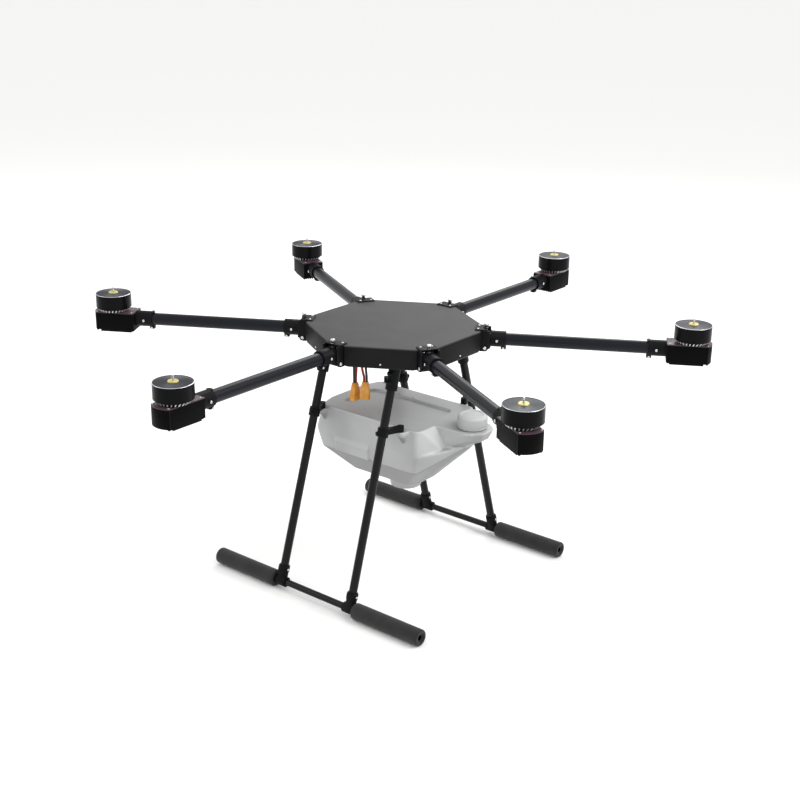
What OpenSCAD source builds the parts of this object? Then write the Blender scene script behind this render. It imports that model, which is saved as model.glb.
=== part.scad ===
// Six-arm agricultural spray drone: folding arms with motors, a landing gear on
// two foam-padded skids and a ten litre liquid tank slung under the hub.
// +X is the front, +Z is up, the ground is z = 0 and the hub centre is above the origin.

/* [Overall] */
// Distance between opposite motor shafts
wheelbase = 1400; // [1100:10:1700]
// Height of the arm tubes' centre line above the ground
arm_z = 605.5; // [560:0.5:700]

/* [Hub] */
// Hub cover across its flats
cover_flats = 394; // [385:1:410]
// Distance from the hub centre to each cut-off corner of the cover
corner_cut = 211; // [208:0.5:212]
// Top of the cover above the arm centre line
cover_rise = 23.5; // [22:0.5:30]
// Bottom edge of the cover below the arm centre line
cover_drop = 23; // [22:0.5:26]
// Sheet thickness of the cover
cover_wall = 1.5; // [1:0.1:2.5]
// Bevel along the cover's top edges
cover_bevel = 2.5; // [1:0.5:5]
// Thickness of the carbon floor plate
floor_t = 3; // [2:0.5:5]

/* [Arms] */
// Outside diameter of an arm tube
arm_d = 30; // [26:1:31]
// Wall of an arm tube
arm_wall = 1.5; // [1:0.1:3]
// Distance from the hub centre to an arm's fold pivot
pivot_r = 220; // [218:0.5:222]
// Fold pivot below the arm centre line
pivot_drop = 18.5; // [17:0.5:20]
// Diameter of the fold pivot screw
pivot_d = 6; // [4:0.5:7]
// Outside diameter of the clamps round an arm tube
collar_d = 38; // [35:0.5:40]
// Length of the clamp at the root of an arm
root_collar = 36; // [28:1:50]
// Length of the clamp at the motor end of an arm
pod_collar = 42; // [25:1:60]
// Gap between the fork cheeks that hold an arm's root
fork_gap = 37; // [36:0.5:40]
// Thickness of a fork cheek
cheek_t = 4.5; // [3:0.5:6]
// Diameter of the latch bolt that locks an arm
latch_d = 6; // [4:0.5:7]
// Height of the latch bolt's head above the arm centre line
latch_rise = 37; // [34:0.5:42]

/* [Motors] */
// Diameter of a motor bell
bell_d = 85.6; // [76:0.2:95]
// Height of a motor bell
bell_h = 34.5; // [30:0.5:45]
// Top of a motor bell above the arm centre line
bell_rise = 61.5; // [58:0.5:75]
// Diameter of a motor shaft
shaft_d = 8; // [6:0.5:10]
// Diameter of the threaded stub that takes the propeller
stub_d = 5; // [4:0.5:7]
// Length of that stub
stub_h = 11; // [8:0.5:30]
// Width of a motor pod
pod_w = 56; // [50:1:70]
// Height of a motor pod
pod_h = 44.2; // [40:0.2:50]
// Pod's inner end, measured from the motor shaft
pod_in = 58; // [54:1:80]
// Pod's rounded outer end, measured from the motor shaft
pod_out = 46.4; // [44:0.2:60]
// Wall of a motor pod
pod_wall = 2.2; // [1.5:0.1:3]

/* [Landing gear] */
// Diameter of a leg tube
leg_d = 20; // [16:1:22]
// Diameter of a skid tube
skid_d = 16; // [12:1:18]
// Diameter of the foam sleeves on the skids
foam_d = 40; // [32:1:50]
// Wall of the leg and skid tubes
gear_wall = 1.5; // [1:0.1:2.5]
// Half the distance between the skids
skid_y = 289.7; // [250:0.1:340]
// Where the legs meet the hub floor, out to the side
leg_top_y = 122.6; // [115:0.1:128]
// Where the legs meet the hub floor, fore and aft
leg_top_x = 105.1; // [98:0.1:112]
// Where the legs meet the skids, fore and aft
leg_foot_x = 110; // [100:0.5:115]
// Outer end of a foam sleeve
foam_end = 322; // [290:1:360]
// Length of a foam sleeve
foam_len = 195; // [120:1:195]

/* [Tank] */
// Gap between the hub floor and the tank's shoulders
tank_gap = 156.5; // [140:0.5:180]
// Half the width of the tank at its shoulders
tank_y = 112; // [105:0.5:113]
// Front face of the tank body
tank_front = 165; // [155:1:168]
// Rear corners of the tank body
tank_rear = 135; // [120:1:137]
// Height of the tank body from its shoulders to the chine
tank_side = 109; // [90:1:120]
// Wall of the tank
tank_wall = 2.6; // [2:0.1:4]
// Diameter of the screw cap
cap_d = 72; // [66:1:74]
// Height of the screw cap
cap_h = 31; // [25:1:40]
// Diameter of the outlet hole
outlet_d = 16; // [10:1:24]

/* [Fits] */
// Radial clearance of a shaft or pin that turns in its bore
run_fit = 0.05; // [0.01:0.01:0.1]
// Clearance round a piece that is set into another
set_fit = 0.05; // [0.02:0.01:0.2]
// Gap between curved or flat faces that move past each other
move_gap = 0.5; // [0.3:0.1:1]

/* [Hidden] */
arm_count = 6;
corner_count = 4;
$fn = 48;
EPS = 0.01;
HULL_FN = 32;

motor_r = wheelbase / 2;
cover_top = arm_z + cover_rise;
cover_low = arm_z - cover_drop;
floor_low = cover_low - floor_t;
pivot_z = arm_z - pivot_drop;
root_x = pivot_r + 12;
fork_back = pivot_r - 34;
fork_front = pivot_r + 11;
fork_out = fork_gap / 2 + cheek_t;
plate_t = 3;
latch_x = pivot_r + 1;
latch_pin_z = arm_z + 16.5;
latch_pin_d = 3;
latch_slot = latch_d + 1.2;
pod_top = arm_z + 18.2;
pod_low = pod_top - pod_h;
bell_top = arm_z + bell_rise;
bell_low = bell_top - bell_h;
bell_wall = 2;
magnet_t = 2.8;
tube_bore = arm_d + 2 * set_fit;
skid_z = foam_d / 2;
tank_top = floor_low - tank_gap;
tank_chine = tank_top - tank_side;
tank_waist = tank_top - 62;
tank_keel = tank_top - 172;
sump_low = tank_top - 199;
neck_x = tank_front + 73;
cap_low = tank_top + 2;
clamp_z = tank_top + 3;
seat_z = tank_top - 8;
seat_x = 123;
seat_y = 122;
outlet_x = 42;
sump_r = 38;

// ---------- shared shapes ----------

module rod_x(x0, x1, d, y = 0, z = 0) {
    translate([x0, y, z]) rotate([0, 90, 0]) cylinder(h = x1 - x0, d = d);
}

module rod_y(x, z, y0, y1, d) {
    translate([x, y1, z]) rotate([90, 0, 0]) cylinder(h = y1 - y0, d = d);
}

module block(x0, x1, y0, y1, z0, z1) {
    translate([x0, y0, z0]) cube([x1 - x0, y1 - y0, z1 - z0]);
}

// a shape drawn in the X-Z plane and given a thickness along Y
module side_profile(y0, y1) {
    translate([0, y1, 0]) rotate([90, 0, 0]) linear_extrude(y1 - y0) children();
}

module at_arm(i) {
    rotate([0, 0, 30 + 60 * (i - 1)]) children();
}

module each_arm() {
    for (i = [1 : arm_count]) at_arm(i) children();
}

// the four corners of the landing gear, as mirror images of the +X +Y one
module each_corner() {
    for (sx = [0, 1], sy = [0, 1])
        mirror([sx, 0, 0]) mirror([0, sy, 0]) children();
}

leg_top = [leg_top_x, leg_top_y, floor_low];
leg_foot = [leg_foot_x, skid_y, skid_z];
leg_len = norm(leg_top - leg_foot);
leg_dir = (leg_top - leg_foot) / leg_len;

function leg_at(z) = leg_foot + leg_dir * (z - leg_foot[2]) / leg_dir[2];

// local +Z runs up the leg from the point at height z
module on_leg(z) {
    translate(leg_at(z))
        rotate([0, acos(leg_dir[2]), atan2(leg_dir[1], leg_dir[0])]) children();
}

// hexagon with flats facing 0, 60 ... 300 degrees at this distance, and its corners,
// which point along the arms, cut off at that distance
module hub_outline(flat, cut) {
    intersection() {
        rotate(30) circle(r = flat / cos(30), $fn = 6);
        circle(r = cut / cos(30), $fn = 6);
    }
}

// ---------- hub ----------

module hub_floor() {
    color("#202124") translate([0, 0, floor_low]) difference() {
        linear_extrude(floor_t) difference() {
            hub_outline(cover_flats / 2 - 1, corner_cut - 4);
            circle(r = 34);
            for (a = [0 : 60 : 300]) rotate(a) translate([112, 0]) circle(r = 20);
        }
        for (n = [1, 2]) translate([lead_exit(n)[0], lead_exit(n)[1], -1])
            cylinder(h = floor_t + 2, d = lead_hole_d);
    }
}

module hub_cover() {
    flat = cover_flats / 2;
    color("#3a3b3d") difference() {
        union() {
            translate([0, 0, cover_low])
                linear_extrude(cover_top - cover_low - cover_bevel)
                    hub_outline(flat, corner_cut);
            hull() {
                translate([0, 0, cover_top - cover_bevel - EPS]) linear_extrude(EPS)
                    hub_outline(flat, corner_cut);
                translate([0, 0, cover_top - EPS]) linear_extrude(EPS)
                    hub_outline(flat - cover_bevel, corner_cut - cover_bevel);
            }
        }
        translate([0, 0, cover_low - 1])
            linear_extrude(cover_top - cover_low - cover_wall - cover_bevel + 1)
                hub_outline(flat - cover_wall, corner_cut - cover_wall);
        translate([0, 0, cover_low])
            linear_extrude(cover_top - cover_low - cover_wall)
                hub_outline(flat - cover_wall - cover_bevel,
                                   corner_cut - cover_wall - cover_bevel);
        each_arm() block(corner_cut - 12, corner_cut + 5, -fork_out - 1, fork_out + 1,
                         cover_low - 1, cover_top - cover_wall);
    }
}

module cheek_outline() {
    difference() {
        union() {
            polygon([[fork_back, cover_low], [corner_cut - 3, cover_low],
                     [corner_cut - 3, pivot_z - 8], [pivot_r, pivot_z - 8],
                     [fork_front, pivot_z + 6], [fork_front, cover_top],
                     [corner_cut + set_fit, cover_top],
                     [corner_cut + set_fit, cover_top - cover_wall - cover_bevel - 1],
                     [fork_back, cover_top - cover_wall - cover_bevel - 1]]);
            translate([pivot_r, pivot_z]) circle(r = 8);
        }
        translate([pivot_r, pivot_z]) circle(d = pivot_d + 2 * set_fit);
    }
}

module corner_forks() {
    top = cover_top - cover_wall - cover_bevel - 1;
    color("#161719") each_arm() {
        for (s = [-1, 1])
            side_profile(min(s * fork_gap / 2, s * fork_out),
                         max(s * fork_gap / 2, s * fork_out)) cheek_outline();
        difference() {
            union() {
                block(fork_back, fork_back + 5, -fork_out, fork_out, cover_low, top);
                block(fork_back, corner_cut - 12, -fork_out, fork_out, cover_low,
                      cover_low + 3);
            }
            rod_x(fork_back - 1, fork_back + 6, 18, 0, arm_z);
        }
    }
}

module latch_plates() {
    color("#1a1b1d") each_arm() difference() {
        block(corner_cut - 15, latch_x + 3.9, -fork_out + 1, fork_out - 1,
              cover_top, cover_top + plate_t);
        block(latch_x - latch_slot / 2, fork_front + 2, -latch_slot / 2, latch_slot / 2,
              cover_top - 1, cover_top + plate_t + 1);
        translate([latch_x - latch_slot / 2, 0, cover_top - 1])
            cylinder(h = plate_t + 2, d = latch_slot);
    }
}

module pivot_screws() {
    color("silver") each_arm() {
        rod_y(pivot_r, pivot_z, -fork_out - 1, fork_out + 1, pivot_d);
        for (s = [-1, 1])
            rod_y(pivot_r, pivot_z, min(s * fork_out, s * (fork_out + 3)),
                  max(s * fork_out, s * (fork_out + 3)), pivot_d + 3.5);
    }
}

module hub_screws() {
    color("silver") {
        each_arm() for (s = [-1, 1])
            translate([corner_cut - 8, s * 14, cover_top + plate_t]) cylinder(h = 2, d = 5.5);
        for (a = [0 : 60 : 300]) rotate(a)
            rod_x(cover_flats / 2, cover_flats / 2 + 1.4, 5, 0, cover_low + 7);
    }
}

board_w = 160;
board_z = cover_low + 7;

module power_board() {
    color("#1d4d2b") {
        block(-board_w / 2, board_w / 2, -board_w / 2, board_w / 2, board_z, board_z + 1.6);
        for (sx = [-1, 1], sy = [-1, 1])
            translate([sx * (board_w / 2 - 6), sy * (board_w / 2 - 6), cover_low])
                cylinder(h = board_z - cover_low + EPS, d = 8);
        for (a = [0 : 60 : 300]) rotate(a + 30)
            block(44, 56, -7, 7, board_z + 1, board_z + 5);
    }
}

module flight_controller() {
    low = board_z + 1.6;
    color("#2b2c2e") {
        for (sx = [-1, 1], sy = [-1, 1])
            translate([sx * 26, sy * 16, low]) cylinder(h = 6 + EPS, d = 8);
        block(-34, 34, -23, 23, low + 6, low + 21);
    }
}

// ---------- arms ----------

module root_block() {
    translate([pivot_r, pivot_z]) circle(r = 7.5);
    polygon([[pivot_r - 7.5, pivot_z], [pivot_r - 7.5, arm_z + 16],
             [root_x + 1, arm_z + 16], [root_x + 1, pivot_z - 1], [pivot_r, pivot_z - 7.5]]);
}

module collar(x0, x1) {
    rod_x(x0, x1, collar_d, 0, arm_z);
    for (s = [-1, 1])
        rod_y((x0 + x1) / 2 - 2, arm_z, min(s * 12, s * (collar_d / 2 + 2.4)),
              max(s * 12, s * (collar_d / 2 + 2.4)), 7);
}

module clamp_lug(x) {
    block(x - 6, x + 6, -6, 6, arm_z - collar_d / 2 - 5, arm_z - arm_d / 2 - 1);
    rod_y(x, arm_z - collar_d / 2 - 1, -9, 9, 6);
}

module arm_root() {
    half = fork_gap / 2 - move_gap;
    ear_z = arm_z + 21;
    color("#1b1c1f") difference() {
        union() {
            side_profile(-half, half) root_block();
            collar(root_x, root_x + root_collar);
            clamp_lug(root_x + root_collar - 5);
            side_profile(-9, 9) {
                translate([latch_x, latch_pin_z]) circle(r = 4.2);
                polygon([[latch_x - 4.2, arm_z + 14], [latch_x - 4.2, latch_pin_z],
                         [latch_x + 4.2, latch_pin_z], [latch_x + 4.2, arm_z + 14]]);
            }
        }
        rod_x(root_x + 2, root_x + root_collar + 1, tube_bore, 0, arm_z);
        rod_x(pivot_r - 9, root_x + 3, 16, 0, arm_z);
        rod_y(pivot_r, pivot_z, -half - 1, half + 1, pivot_d + 2 * run_fit);
        block(pivot_r - 9, root_x + 1, -latch_slot / 2 - 0.7, latch_slot / 2 + 0.7,
              latch_pin_z - 5, ear_z + 6);
        rod_y(latch_x, latch_pin_z, -10, 10, latch_pin_d + 2 * run_fit);
    }
}

module arm_tube() {
    color("#2a2b33") difference() {
        rod_x(root_x + 2, motor_r - pod_in - 4, arm_d, 0, arm_z);
        rod_x(root_x, motor_r - pod_in - 2, arm_d - 2 * arm_wall, 0, arm_z);
    }
}

module pod_outline(inset) {
    translate([motor_r - pod_in + inset, -pod_w / 2 + inset])
        square([pod_in - inset, pod_w - 2 * inset]);
    intersection() {
        translate([motor_r, 0]) circle(r = pod_out - inset, $fn = 96);
        translate([motor_r - 1, -pod_w / 2 + inset])
            square([pod_out + 2, pod_w - 2 * inset]);
    }
}

module motor_pod() {
    x0 = motor_r - pod_in;
    fin_n = 9;
    color("#141416") difference() {
        union() {
            translate([0, 0, pod_low]) linear_extrude(pod_h) pod_outline(0);
            collar(x0 - pod_collar, x0 + 1);
            clamp_lug(x0 - pod_collar + 3);
            for (k = [0 : fin_n - 1])
                block(x0 + 8, motor_r + 30, -24 + k * 48 / (fin_n - 1) - 0.9,
                      -24 + k * 48 / (fin_n - 1) + 0.9, pod_low - 5, pod_low + EPS);
            for (sx = [x0 + 5, motor_r + 36], s = [-1, 1])
                translate([sx, s * (pod_w / 2 - 5), pod_low - 2.5]) cylinder(h = 3, d = 6);
            for (s = [-1, 1])
                translate([motor_r + 35, s * (pod_w / 2 - 5), pod_top - EPS])
                    cylinder(h = 1.6, d = 5);
        }
        translate([0, 0, pod_low + pod_wall])
            linear_extrude(pod_h - 2 * pod_wall) pod_outline(pod_wall);
        rod_x(x0 - pod_collar - 1, x0 - 3, tube_bore, 0, arm_z);
        rod_x(x0 - 5, x0 + pod_wall + 1, 18, 0, arm_z);
    }
}

module motor_stator() {
    rim = bell_d / 2 - 2.5;
    low = bell_low - move_gap;
    core = bell_d / 2 - bell_wall - magnet_t - 0.8;
    color("#b3743a") translate([motor_r, 0, 0]) difference() {
        union() {
            translate([0, 0, pod_top]) cylinder(h = low - pod_top, r1 = rim - 8, r2 = rim);
            translate([0, 0, low - EPS]) cylinder(h = bell_h * 0.68, r = core);
        }
        translate([0, 0, pod_top - 1]) cylinder(h = bell_h * 2, d = shaft_d + 2 * run_fit);
        translate([0, 0, pod_top + 3]) difference() {
            cylinder(h = bell_h * 2, r = core - 6.5);
            translate([0, 0, -1]) cylinder(h = bell_h * 3, r = shaft_d / 2 + 7);
        }
    }
}

module motor_rotor() {
    r = bell_d / 2;
    disc = 4;
    color("#1c1d22") translate([motor_r, 0, 0]) {
        rotate_extrude($fn = 96) polygon([
            [0, bell_top - disc], [r - bell_wall - magnet_t, bell_top - disc],
            [r - bell_wall - magnet_t, bell_low], [r, bell_low], [r, bell_top - 1.2],
            [r - 1.2, bell_top - 0.6], [11, bell_top + 0.6], [11, bell_top + 2.4], [0, bell_top + 2.4]]);
        translate([0, 0, pod_top + 1]) cylinder(h = bell_top - pod_top, d = shaft_d);
        translate([0, 0, bell_top]) cylinder(h = 2.4 + stub_h, d = stub_d);
    }
}

module latch_bolt() {
    nut_z = cover_top + plate_t + 0.8;
    head_z = arm_z + latch_rise;
    color("#3c3d40") translate([latch_x, 0, 0]) {
        translate([0, 0, latch_pin_z]) cylinder(h = head_z - latch_pin_z, d = latch_d);
        rod_y(0, latch_pin_z, -latch_slot / 2, latch_slot / 2, 7.6);
        rod_y(0, latch_pin_z, -9, 9, latch_pin_d);
        translate([0, 0, nut_z]) cylinder(h = 2.6, d = 10);
        translate([0, 0, head_z - 4.5]) cylinder(h = 4.5, d = 11);
    }
}

// ---------- landing gear ----------

socket_d = leg_d + 8;
joint_d = skid_d + 9;

module leg_sockets() {
    drop = 58;
    color("#151618") each_corner() difference() {
        union() {
            translate([leg_top_x - 24, leg_top_y - 24, floor_low - 4]) cube([48, 48, 4]);
            intersection() {
                on_leg(floor_low - drop) cylinder(h = drop + 20, d = socket_d);
                block(0, 300, 0, 300, floor_low - drop - 20, floor_low - 2);
            }
            for (k = [18, 38]) on_leg(floor_low - drop)
                translate([-socket_d / 2, 0, 0]) translate([0, 0, k])
                    rotate([0, 90, 90]) translate([0, 0, -7]) cylinder(h = 14, d = 8);
        }
        on_leg(floor_low - drop - 2)
            cylinder(h = drop - 6, d = leg_d + 2 * set_fit);
    }
}

module legs() {
    color("#1f2023") each_corner() difference() {
        on_leg(skid_z + 15) cylinder(h = leg_len - 15 - 14, d = leg_d);
        on_leg(skid_z + 13) cylinder(h = leg_len - 15 - 10, d = leg_d - 2 * gear_wall);
    }
}

module skid_joints() {
    color("#151618") each_corner() difference() {
        union() {
            rod_x(leg_foot_x - 17, foam_end - foam_len - set_fit, joint_d, skid_y, skid_z);
            on_leg(skid_z) cylinder(h = 40, d = leg_d + 5.5);
            on_leg(skid_z + 23) cylinder(h = 13, d = leg_d + 8);
        }
        rod_x(leg_foot_x - 18, foam_end - foam_len + 1, skid_d + 2 * set_fit, skid_y, skid_z);
        on_leg(skid_z + 14) cylinder(h = 60, d = leg_d + 2 * set_fit);
    }
}

module gear_screws() {
    color("silver") each_corner() for (s = [-1, 1]) on_leg(skid_z + 29)
        rotate([0, 0, 90]) translate([s * (leg_d / 2 + 4), 0, 0])
            rotate([0, s * 90, 0]) cylinder(h = 3, d = 6);
}

module skids() {
    color("#1f2023") for (side = [0, 1]) mirror([0, side, 0]) difference() {
        rod_x(-foam_end + 4, foam_end - 4, skid_d, skid_y, skid_z);
        rod_x(-foam_end, foam_end, skid_d - 2 * gear_wall, skid_y, skid_z);
    }
}

module foam_sleeves() {
    soft = 4;
    color("#2e2e30") each_corner() translate([foam_end - foam_len, skid_y, skid_z])
        rotate([0, 90, 0]) difference() {
            rotate_extrude($fn = 64) polygon(concat(
                [[0, 0], [foam_d / 2 - 1, 0], [foam_d / 2, 1]],
                [for (a = [0 : 15 : 90]) [foam_d / 2 - soft + soft * cos(a),
                                         foam_len - soft + soft * sin(a)]],
                [[0, foam_len]]));
            translate([0, 0, -1]) cylinder(h = foam_len + 2, d = skid_d + 2 * set_fit);
        }
}

// ---------- tank ----------

// one level of the tank, rounded at its corners
module level(z, r, points, inset = 0) {
    translate([0, 0, z]) linear_extrude(EPS) offset(r = r, $fn = HULL_FN)
        offset(delta = -r - inset) polygon(points);
}

function both_sides(half) = concat(half, [for (k = [len(half) - 1 : -1 : 0])
                                          [half[k][0], -half[k][1]]]);

top_half = [[tank_front, tank_y], [-tank_rear, tank_y], [-tank_rear - 15, 60]];
waist_half = [[tank_front + 36, 50], [tank_front - 1, tank_y + 5],
              [-tank_rear - 16, tank_y + 6], [-tank_rear - 24, 60]];
chine_half = [[166, 44], [tank_front - 8, tank_y], [-tank_rear - 2, tank_y],
              [-tank_rear - 14, 55]];
keel_half = [[106, 30], [96, 56], [-78, 56], [-86, 40]];
nose_top_half = [[neck_x + 48, 22], [neck_x + 22, 46], [120, 50]];
nose_mid_half = [[neck_x + 36, 18], [neck_x + 14, 42], [120, 50]];
nose_root_half = [[tank_front + 14, 44], [120, 48]];
prow_half = [[tank_front + 75, 20], [tank_front, 40]];

module tank_body(inset) {
    lid = tank_top - EPS - inset;
    hull() {
        level(lid, 14, both_sides(top_half), inset);
        level(tank_waist, 14, both_sides(waist_half), inset);
    }
    hull() {
        level(tank_waist, 14, both_sides(waist_half), inset);
        level(tank_waist + 17 - inset, 14, both_sides(prow_half), inset);
        level(tank_chine, 14, both_sides(chine_half), inset);
        level(tank_keel + inset, 14, both_sides(keel_half), inset);
    }
    hull() {
        level(lid, 16, both_sides(nose_top_half), inset);
        level(tank_top - 25 + inset, 14, both_sides(nose_mid_half), inset);
        level(tank_waist - 2 + inset, 14, both_sides(nose_root_half), inset);
    }
}

module deck(grow) {
    offset(r = 18 + grow) offset(delta = -18)
        translate([-112, -60]) square([250, 120]);
}

// raised panel moulded on each side of the tank, its top sloping back into the wall
module side_panel() {
    translate([-84, 0, 0]) rotate([90, 0, 90]) linear_extrude(104)
        polygon([[tank_y - 12, tank_chine + 1], [tank_y + 9.5, tank_chine + 2],
                 [tank_y + 11, tank_chine + 26], [tank_y + 4, tank_chine + 45],
                 [tank_y - 12, tank_chine + 45]]);
}

module tank() {
    deck_drop = 6;
    neck_r = cap_d / 2 - 4;
    color("#dfe0de") difference() {
        union() {
            tank_body(0);
            translate([neck_x, 0, tank_top - 8]) cylinder(h = cap_h + 4, r = neck_r);
            each_corner() {
                translate([seat_x, seat_y, seat_z - 14]) cylinder(h = 14, r = 12);
                translate([seat_x - 12, seat_y - 24, seat_z - 14]) cube([24, 24, 14]);
            }
            for (side = [0, 1]) mirror([0, side, 0]) side_panel();
        }
        difference() {
            tank_body(tank_wall);
            translate([0, 0, tank_top - deck_drop - tank_wall])
                linear_extrude(40) deck(tank_wall);
        }
        translate([0, 0, tank_top - deck_drop]) linear_extrude(40) deck(0);
        each_corner() translate([seat_x, seat_y, seat_z - 10]) cylinder(h = 12, d = 6.1);
        for (x = [-35, 8], s = [-1, 1])
            translate([x, s * 67, tank_top - 2]) cylinder(h = 4, d = 5);
        translate([outlet_x, 0, tank_keel - 1]) cylinder(h = tank_wall + 2, r = sump_r - 5);
        translate([neck_x, 0, tank_top - 12]) cylinder(h = 60, r = neck_r - 3);
    }
}

// cup under the keel where the liquid collects, with the outlet hole in its floor
module tank_sump() {
    color("#dfe0de") translate([outlet_x, 0, 0]) difference() {
        translate([0, 0, sump_low])
            cylinder(h = tank_keel - sump_low, r1 = sump_r, r2 = sump_r + 4);
        translate([0, 0, sump_low + 8]) cylinder(h = tank_keel - sump_low, r = sump_r - 4);
        translate([0, 0, sump_low - 1]) cylinder(h = 12, d = outlet_d);
    }
}

module tank_cap() {
    r = cap_d / 2;
    color("#e2e3e1") translate([neck_x, 0, cap_low]) difference() {
        cylinder(h = cap_h, r = r);
        translate([0, 0, -1]) cylinder(h = cap_h - 4, r = r - 4 + move_gap);
    }
}

module tank_clamps() {
    at = leg_at(clamp_z);
    turn = atan2(seat_y - at[1], seat_x - at[0]);
    reach = norm([seat_x - at[0], seat_y - at[1]]);
    low = clamp_z - 6;
    color("#141517") each_corner() difference() {
        union() {
            on_leg(clamp_z - 10) cylinder(h = 21, d = leg_d + 7);
            translate([at[0], at[1], low]) rotate(turn) {
                translate([0, -7, 0]) cube([reach - 2, 14, 13]);
                translate([-leg_d / 2 - 8, -4, 1]) cube([12, 8, 9]);
                translate([reach - 2, 0, -1]) cylinder(h = 15, d = 16);
                translate([reach, 0, seat_z - low]) cylinder(h = low - seat_z + 4, d = 10);
                translate([reach, 0, seat_z - low - 8]) cylinder(h = low - seat_z + 10, d = 6);
            }
        }
        on_leg(clamp_z - 40) cylinder(h = 80, d = leg_d + 2 * set_fit);
    }
}

// ---------- battery leads ----------

lead_d = 6;
lead_hole_d = 16;
plug_h = 44;

// place of each plug's top centre, and where its pair of leads leaves the floor
function plug_top(n) = n == 1 ? [-60, -74, 485] : [-36, -64, 490];
function lead_exit(n) = n == 1 ? [-57, -75] : [-48, -66];
plug_turn = [92, 20];
lead_gap = 3.4;

// corner points of a lead, from inside the hub down to the plug
function lead_route(n, s) = let (
        e = lead_exit(n),
        p = plug_top(n),
        d = [cos(plug_turn[n - 1]), sin(plug_turn[n - 1])] * s * lead_gap)
    [[e[0] + d[0], e[1] + d[1], board_z],
     [e[0] + d[0], e[1] + d[1], floor_low - 8],
     [e[0] * 0.8 + p[0] * 0.2 + d[0] * 1.3, e[1] * 0.8 + p[1] * 0.2 + d[1] * 1.3, 558],
     [e[0] * 0.5 + p[0] * 0.5 + d[0] * 1.5, e[1] * 0.5 + p[1] * 0.5 + d[1] * 1.5, 538],
     [e[0] * 0.2 + p[0] * 0.8 + d[0] * 1.3, e[1] * 0.2 + p[1] * 0.8 + d[1] * 1.3, 514],
     [p[0] + d[0], p[1] + d[1], p[2] + 12],
     [p[0] + d[0], p[1] + d[1], p[2]]];

// point on the smooth curve through the points, t running from 0 to 1
function spline_at(pts, t) = let (
        n = len(pts) - 1,
        k = min(floor(t * n), n - 1),
        u = t * n - k,
        a = pts[max(k - 1, 0)],
        b = pts[k],
        c = pts[k + 1],
        d = pts[min(k + 2, n)])
    ((2 * b) + (c - a) * u + (2 * a - 5 * b + 4 * c - d) * u * u
        + (3 * b - a - 3 * c + d) * u * u * u) / 2;

module lead(n, s) {
    sides = 10;
    rings = 22;
    pts = lead_route(n, s);
    mid = [for (i = [0 : rings]) spline_at(pts, i / rings)];
    skin = [for (i = [0 : rings]) let (
                a = mid[max(i - 1, 0)],
                b = mid[min(i + 1, rings)],
                w = (a - b) / norm(a - b),
                u = cross([0, 1, 0], w) / norm(cross([0, 1, 0], w)),
                v = cross(w, u))
            for (k = [0 : sides - 1])
                mid[i] + lead_d / 2 * (u * cos(360 * k / sides) + v * sin(360 * k / sides))];
    walls = [for (i = [0 : rings - 1], k = [0 : sides - 1]) [
                i * sides + k, i * sides + (k + 1) % sides,
                (i + 1) * sides + (k + 1) % sides, (i + 1) * sides + k]];
    ends = [[for (k = [sides - 1 : -1 : 0]) k], [for (k = [0 : sides - 1]) rings * sides + k]];
    polyhedron(points = skin, faces = concat(walls, ends), convexity = 4);
}

module plug(n) {
    p = plug_top(n);
    color("#e6a640") translate([p[0], p[1], p[2] - plug_h]) rotate(plug_turn[n - 1]) {
        difference() {
            translate([-12, -7, 0]) cube([24, 14, 22]);
            for (s = [-1, 1]) translate([s * 5.6, 0, -1]) cylinder(h = 12, d = 6.4);
        }
        hull() {
            translate([-11.5, -6.5, 22 - EPS]) cube([23, 13, EPS]);
            translate([-7.5, -5, plug_h - EPS]) cube([15, 10, EPS]);
        }
    }
}

// ---------- the nodes ----------

hub_floor();
hub_cover();
corner_forks();
latch_plates();
pivot_screws();
hub_screws();
power_board();
flight_controller();
leg_sockets();
legs();
skid_joints();
skids();
foam_sleeves();
tank();
tank_sump();
tank_cap();
tank_clamps();
gear_screws();
color("#b3241d") lead(1, 1);  // plug_lead_red_1
color("#1a1a1a") lead(1, -1);  // plug_lead_black_1
color("#b3241d") lead(2, -1);  // plug_lead_red_2
color("#1a1a1a") lead(2, 1);  // plug_lead_black_2
plug(1);  // battery_plug_1
plug(2);  // battery_plug_2
for (i = [1 : arm_count]) {
    at_arm(i) arm_root();
    at_arm(i) arm_tube();
    at_arm(i) motor_pod();
    at_arm(i) motor_stator();
    at_arm(i) motor_rotor();
    at_arm(i) latch_bolt();
}
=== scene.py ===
import math
import bmesh
import bpy
from mathutils import Matrix, Vector


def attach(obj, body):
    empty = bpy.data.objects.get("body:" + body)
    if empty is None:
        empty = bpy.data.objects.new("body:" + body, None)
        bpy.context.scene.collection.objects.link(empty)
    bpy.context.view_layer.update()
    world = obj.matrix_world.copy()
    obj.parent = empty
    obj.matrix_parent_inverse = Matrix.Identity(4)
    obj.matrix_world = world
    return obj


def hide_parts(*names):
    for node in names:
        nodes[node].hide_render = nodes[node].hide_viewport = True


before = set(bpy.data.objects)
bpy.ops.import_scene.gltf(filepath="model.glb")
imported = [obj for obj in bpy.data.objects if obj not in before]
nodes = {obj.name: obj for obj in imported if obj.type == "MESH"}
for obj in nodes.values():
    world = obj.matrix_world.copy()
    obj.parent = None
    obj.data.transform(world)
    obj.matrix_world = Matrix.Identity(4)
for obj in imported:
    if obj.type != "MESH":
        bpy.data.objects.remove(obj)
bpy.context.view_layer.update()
mm = 0.001
armCount = 6
print("frame loaded with", len(nodes), "nodes")

# ---- camera, light and floor ----

shot = {"azimuth": 38.73, "elevation": 20.07, "roll": 0.70, "distance": 3.2527,  # degrees, metres
        "target": (0.0124, 0.0100, 0.4338), "lens": 59.92}


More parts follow.
